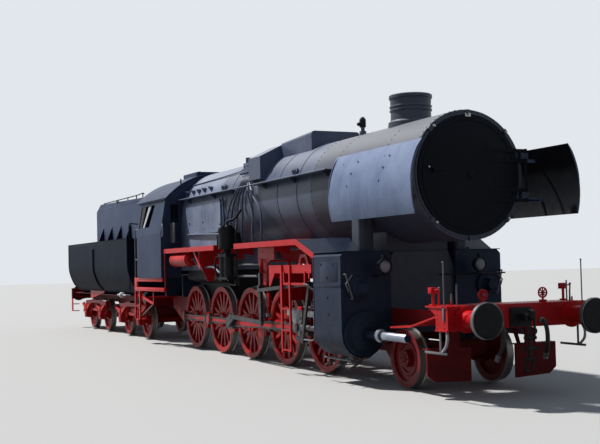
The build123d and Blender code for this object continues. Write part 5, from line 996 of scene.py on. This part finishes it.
kit.bolts([(-10.86, y, z) for y in spread(-1.2, 1.2, 0.08) for z in (0.93, 1.21)
    if abs(abs(y) - BUFFER_Y) > 0.2], BACK, 0.011, 0.007, 8)
kit.box(-10.86, -10.7, -1.25, -1.23, 0.5, 0.9, 0.004)
for z in (0.5, 0.72):
    kit.box(-10.86, -10.6, -1.25, -1.05, z, z + 0.02, 0.003)
kit.plate([(-8.56, -1.14, 1.2), (-8.56, -1.14, 0.96), (-6.9, -1.14, 1.15), (-6.9, -1.14, 1.2)],
    (0, -0.03, 0))
kit.done("tender_beam_rivets", red, "tender_black", "tender")

for end, axles in (("front", TENDER_AXLES[:2]), ("rear", TENDER_AXLES[2:])):
    for x in axles:
        kit.box(x - 0.06, x + 0.06, -1.09, -0.95, 0.555, 0.72, 0.006)
        for way in (-1, 1):
            kit.post(x + way * 0.5, -1.0, 0.5, 0.78, 0.018)
            kit.post(x + way * 0.5, -1.0, 0.76, 0.8, 0.032, 0.03, 8)
            kit.post(x + way * 0.5, -1.0, 0.5, 0.55, 0.032, 0.03, 8)
        kit.ring_of_bolts((x, -1.075, TENDER_RADIUS), RIGHT, 0.115, 4, 0.016, 0.012, math.pi / 4)
        kit.bolts([(x, -1.09, TENDER_RADIUS)], RIGHT, 0.03, 0.014, 6)
    kit.both(f"bogie_springs_{end}", red, "red_paint", f"bogie_{end}")

# Brake rigging under the engine

for x in DRIVERS[1:]:
    kit.across(x + 0.79, -0.73, 0.73, 0.52, 0.022)
    for y in (-0.3, 0.3):
        kit.box(x + 0.77, x + 0.81, y - 0.02, y + 0.02, 0.3, 0.56, 0.004)
for y in (-0.3, 0.3):
    kit.bar(0.9, 5.9, y, 0.32, 0.02)
kit.done("brake_rigging", frame_red_shaded, "red_paint")

# Camera, as fitted to the photo, with floor and light

camera_place = Vector((22.0993, -8.4707, 1.8336 + FLANGE))
camera_right = Vector((0.42454855, 0.90510274, -0.02339995))
camera_up = Vector((0.04814907, 0.00323838, 0.99883491))
camera_view = Vector((-0.90412399, 0.4251806, 0.04220501))
camera_data = bpy.data.cameras.new("camera")
camera_data.sensor_width = 36.0
camera_data.lens = 1007.909 * 36.0 / 600.0
camera_data.clip_end = 400.0
camera_data.dof.use_dof = False
camera = add_object("camera", camera_data)
turn = Matrix((camera_right, camera_up, -camera_view)).transposed().to_4x4()
camera.matrix_world = Matrix.Translation(camera_place) @ turn
bpy.context.scene.camera = camera

floor_mesh = bpy.data.meshes.new("floor")
floor_mesh.from_pydata([(-120, -120, 0), (120, -120, 0), (120, 120, 0), (-120, 120, 0)], [], [(0, 1, 2, 3)])
floor = add_object("floor", floor_mesh)
floor_net = Material("pale_floor")
floor_mesh.materials.append(floor_net.shade({
    "Base Color": floor_net.mixed(floor_net.seen_directly(), (0.1, 0.1, 0.1), (0.46, 0.46, 0.45)),
    "Roughness": 0.9}))

world = bpy.data.worlds.new("studio")
bpy.context.scene.world = world
world.use_nodes = True
sky = Net(world.node_tree)
light = sky.node("ShaderNodeBackground", Strength=0.2, Color=(0.6, 0.77, 1.0))
backdrop = sky.node("ShaderNodeBackground", Strength=0.88, Color=(0.87, 0.91, 0.96))
mix = sky.node("ShaderNodeMixShader")
for socket, value in zip(mix.inputs, (sky.seen_directly(), light.outputs[0], backdrop.outputs[0])):
    sky.feed(socket, value)
sky.node("ShaderNodeOutputWorld", Surface=mix.outputs[0])

sun_data = bpy.data.lights.new("sun", "SUN")
sun_data.energy = 5.0
sun_data.angle = math.radians(3)
sun_data.color = (1.0, 0.98, 0.96)
sun = add_object("sun", sun_data)
sun_way = Vector((-0.61, -0.4, 0.9)).normalized()
sun.rotation_euler = sun_way.to_track_quat("Z", "Y").to_euler()
sun.location = sun_way * 40

bpy.context.scene.view_settings.view_transform = "Standard"
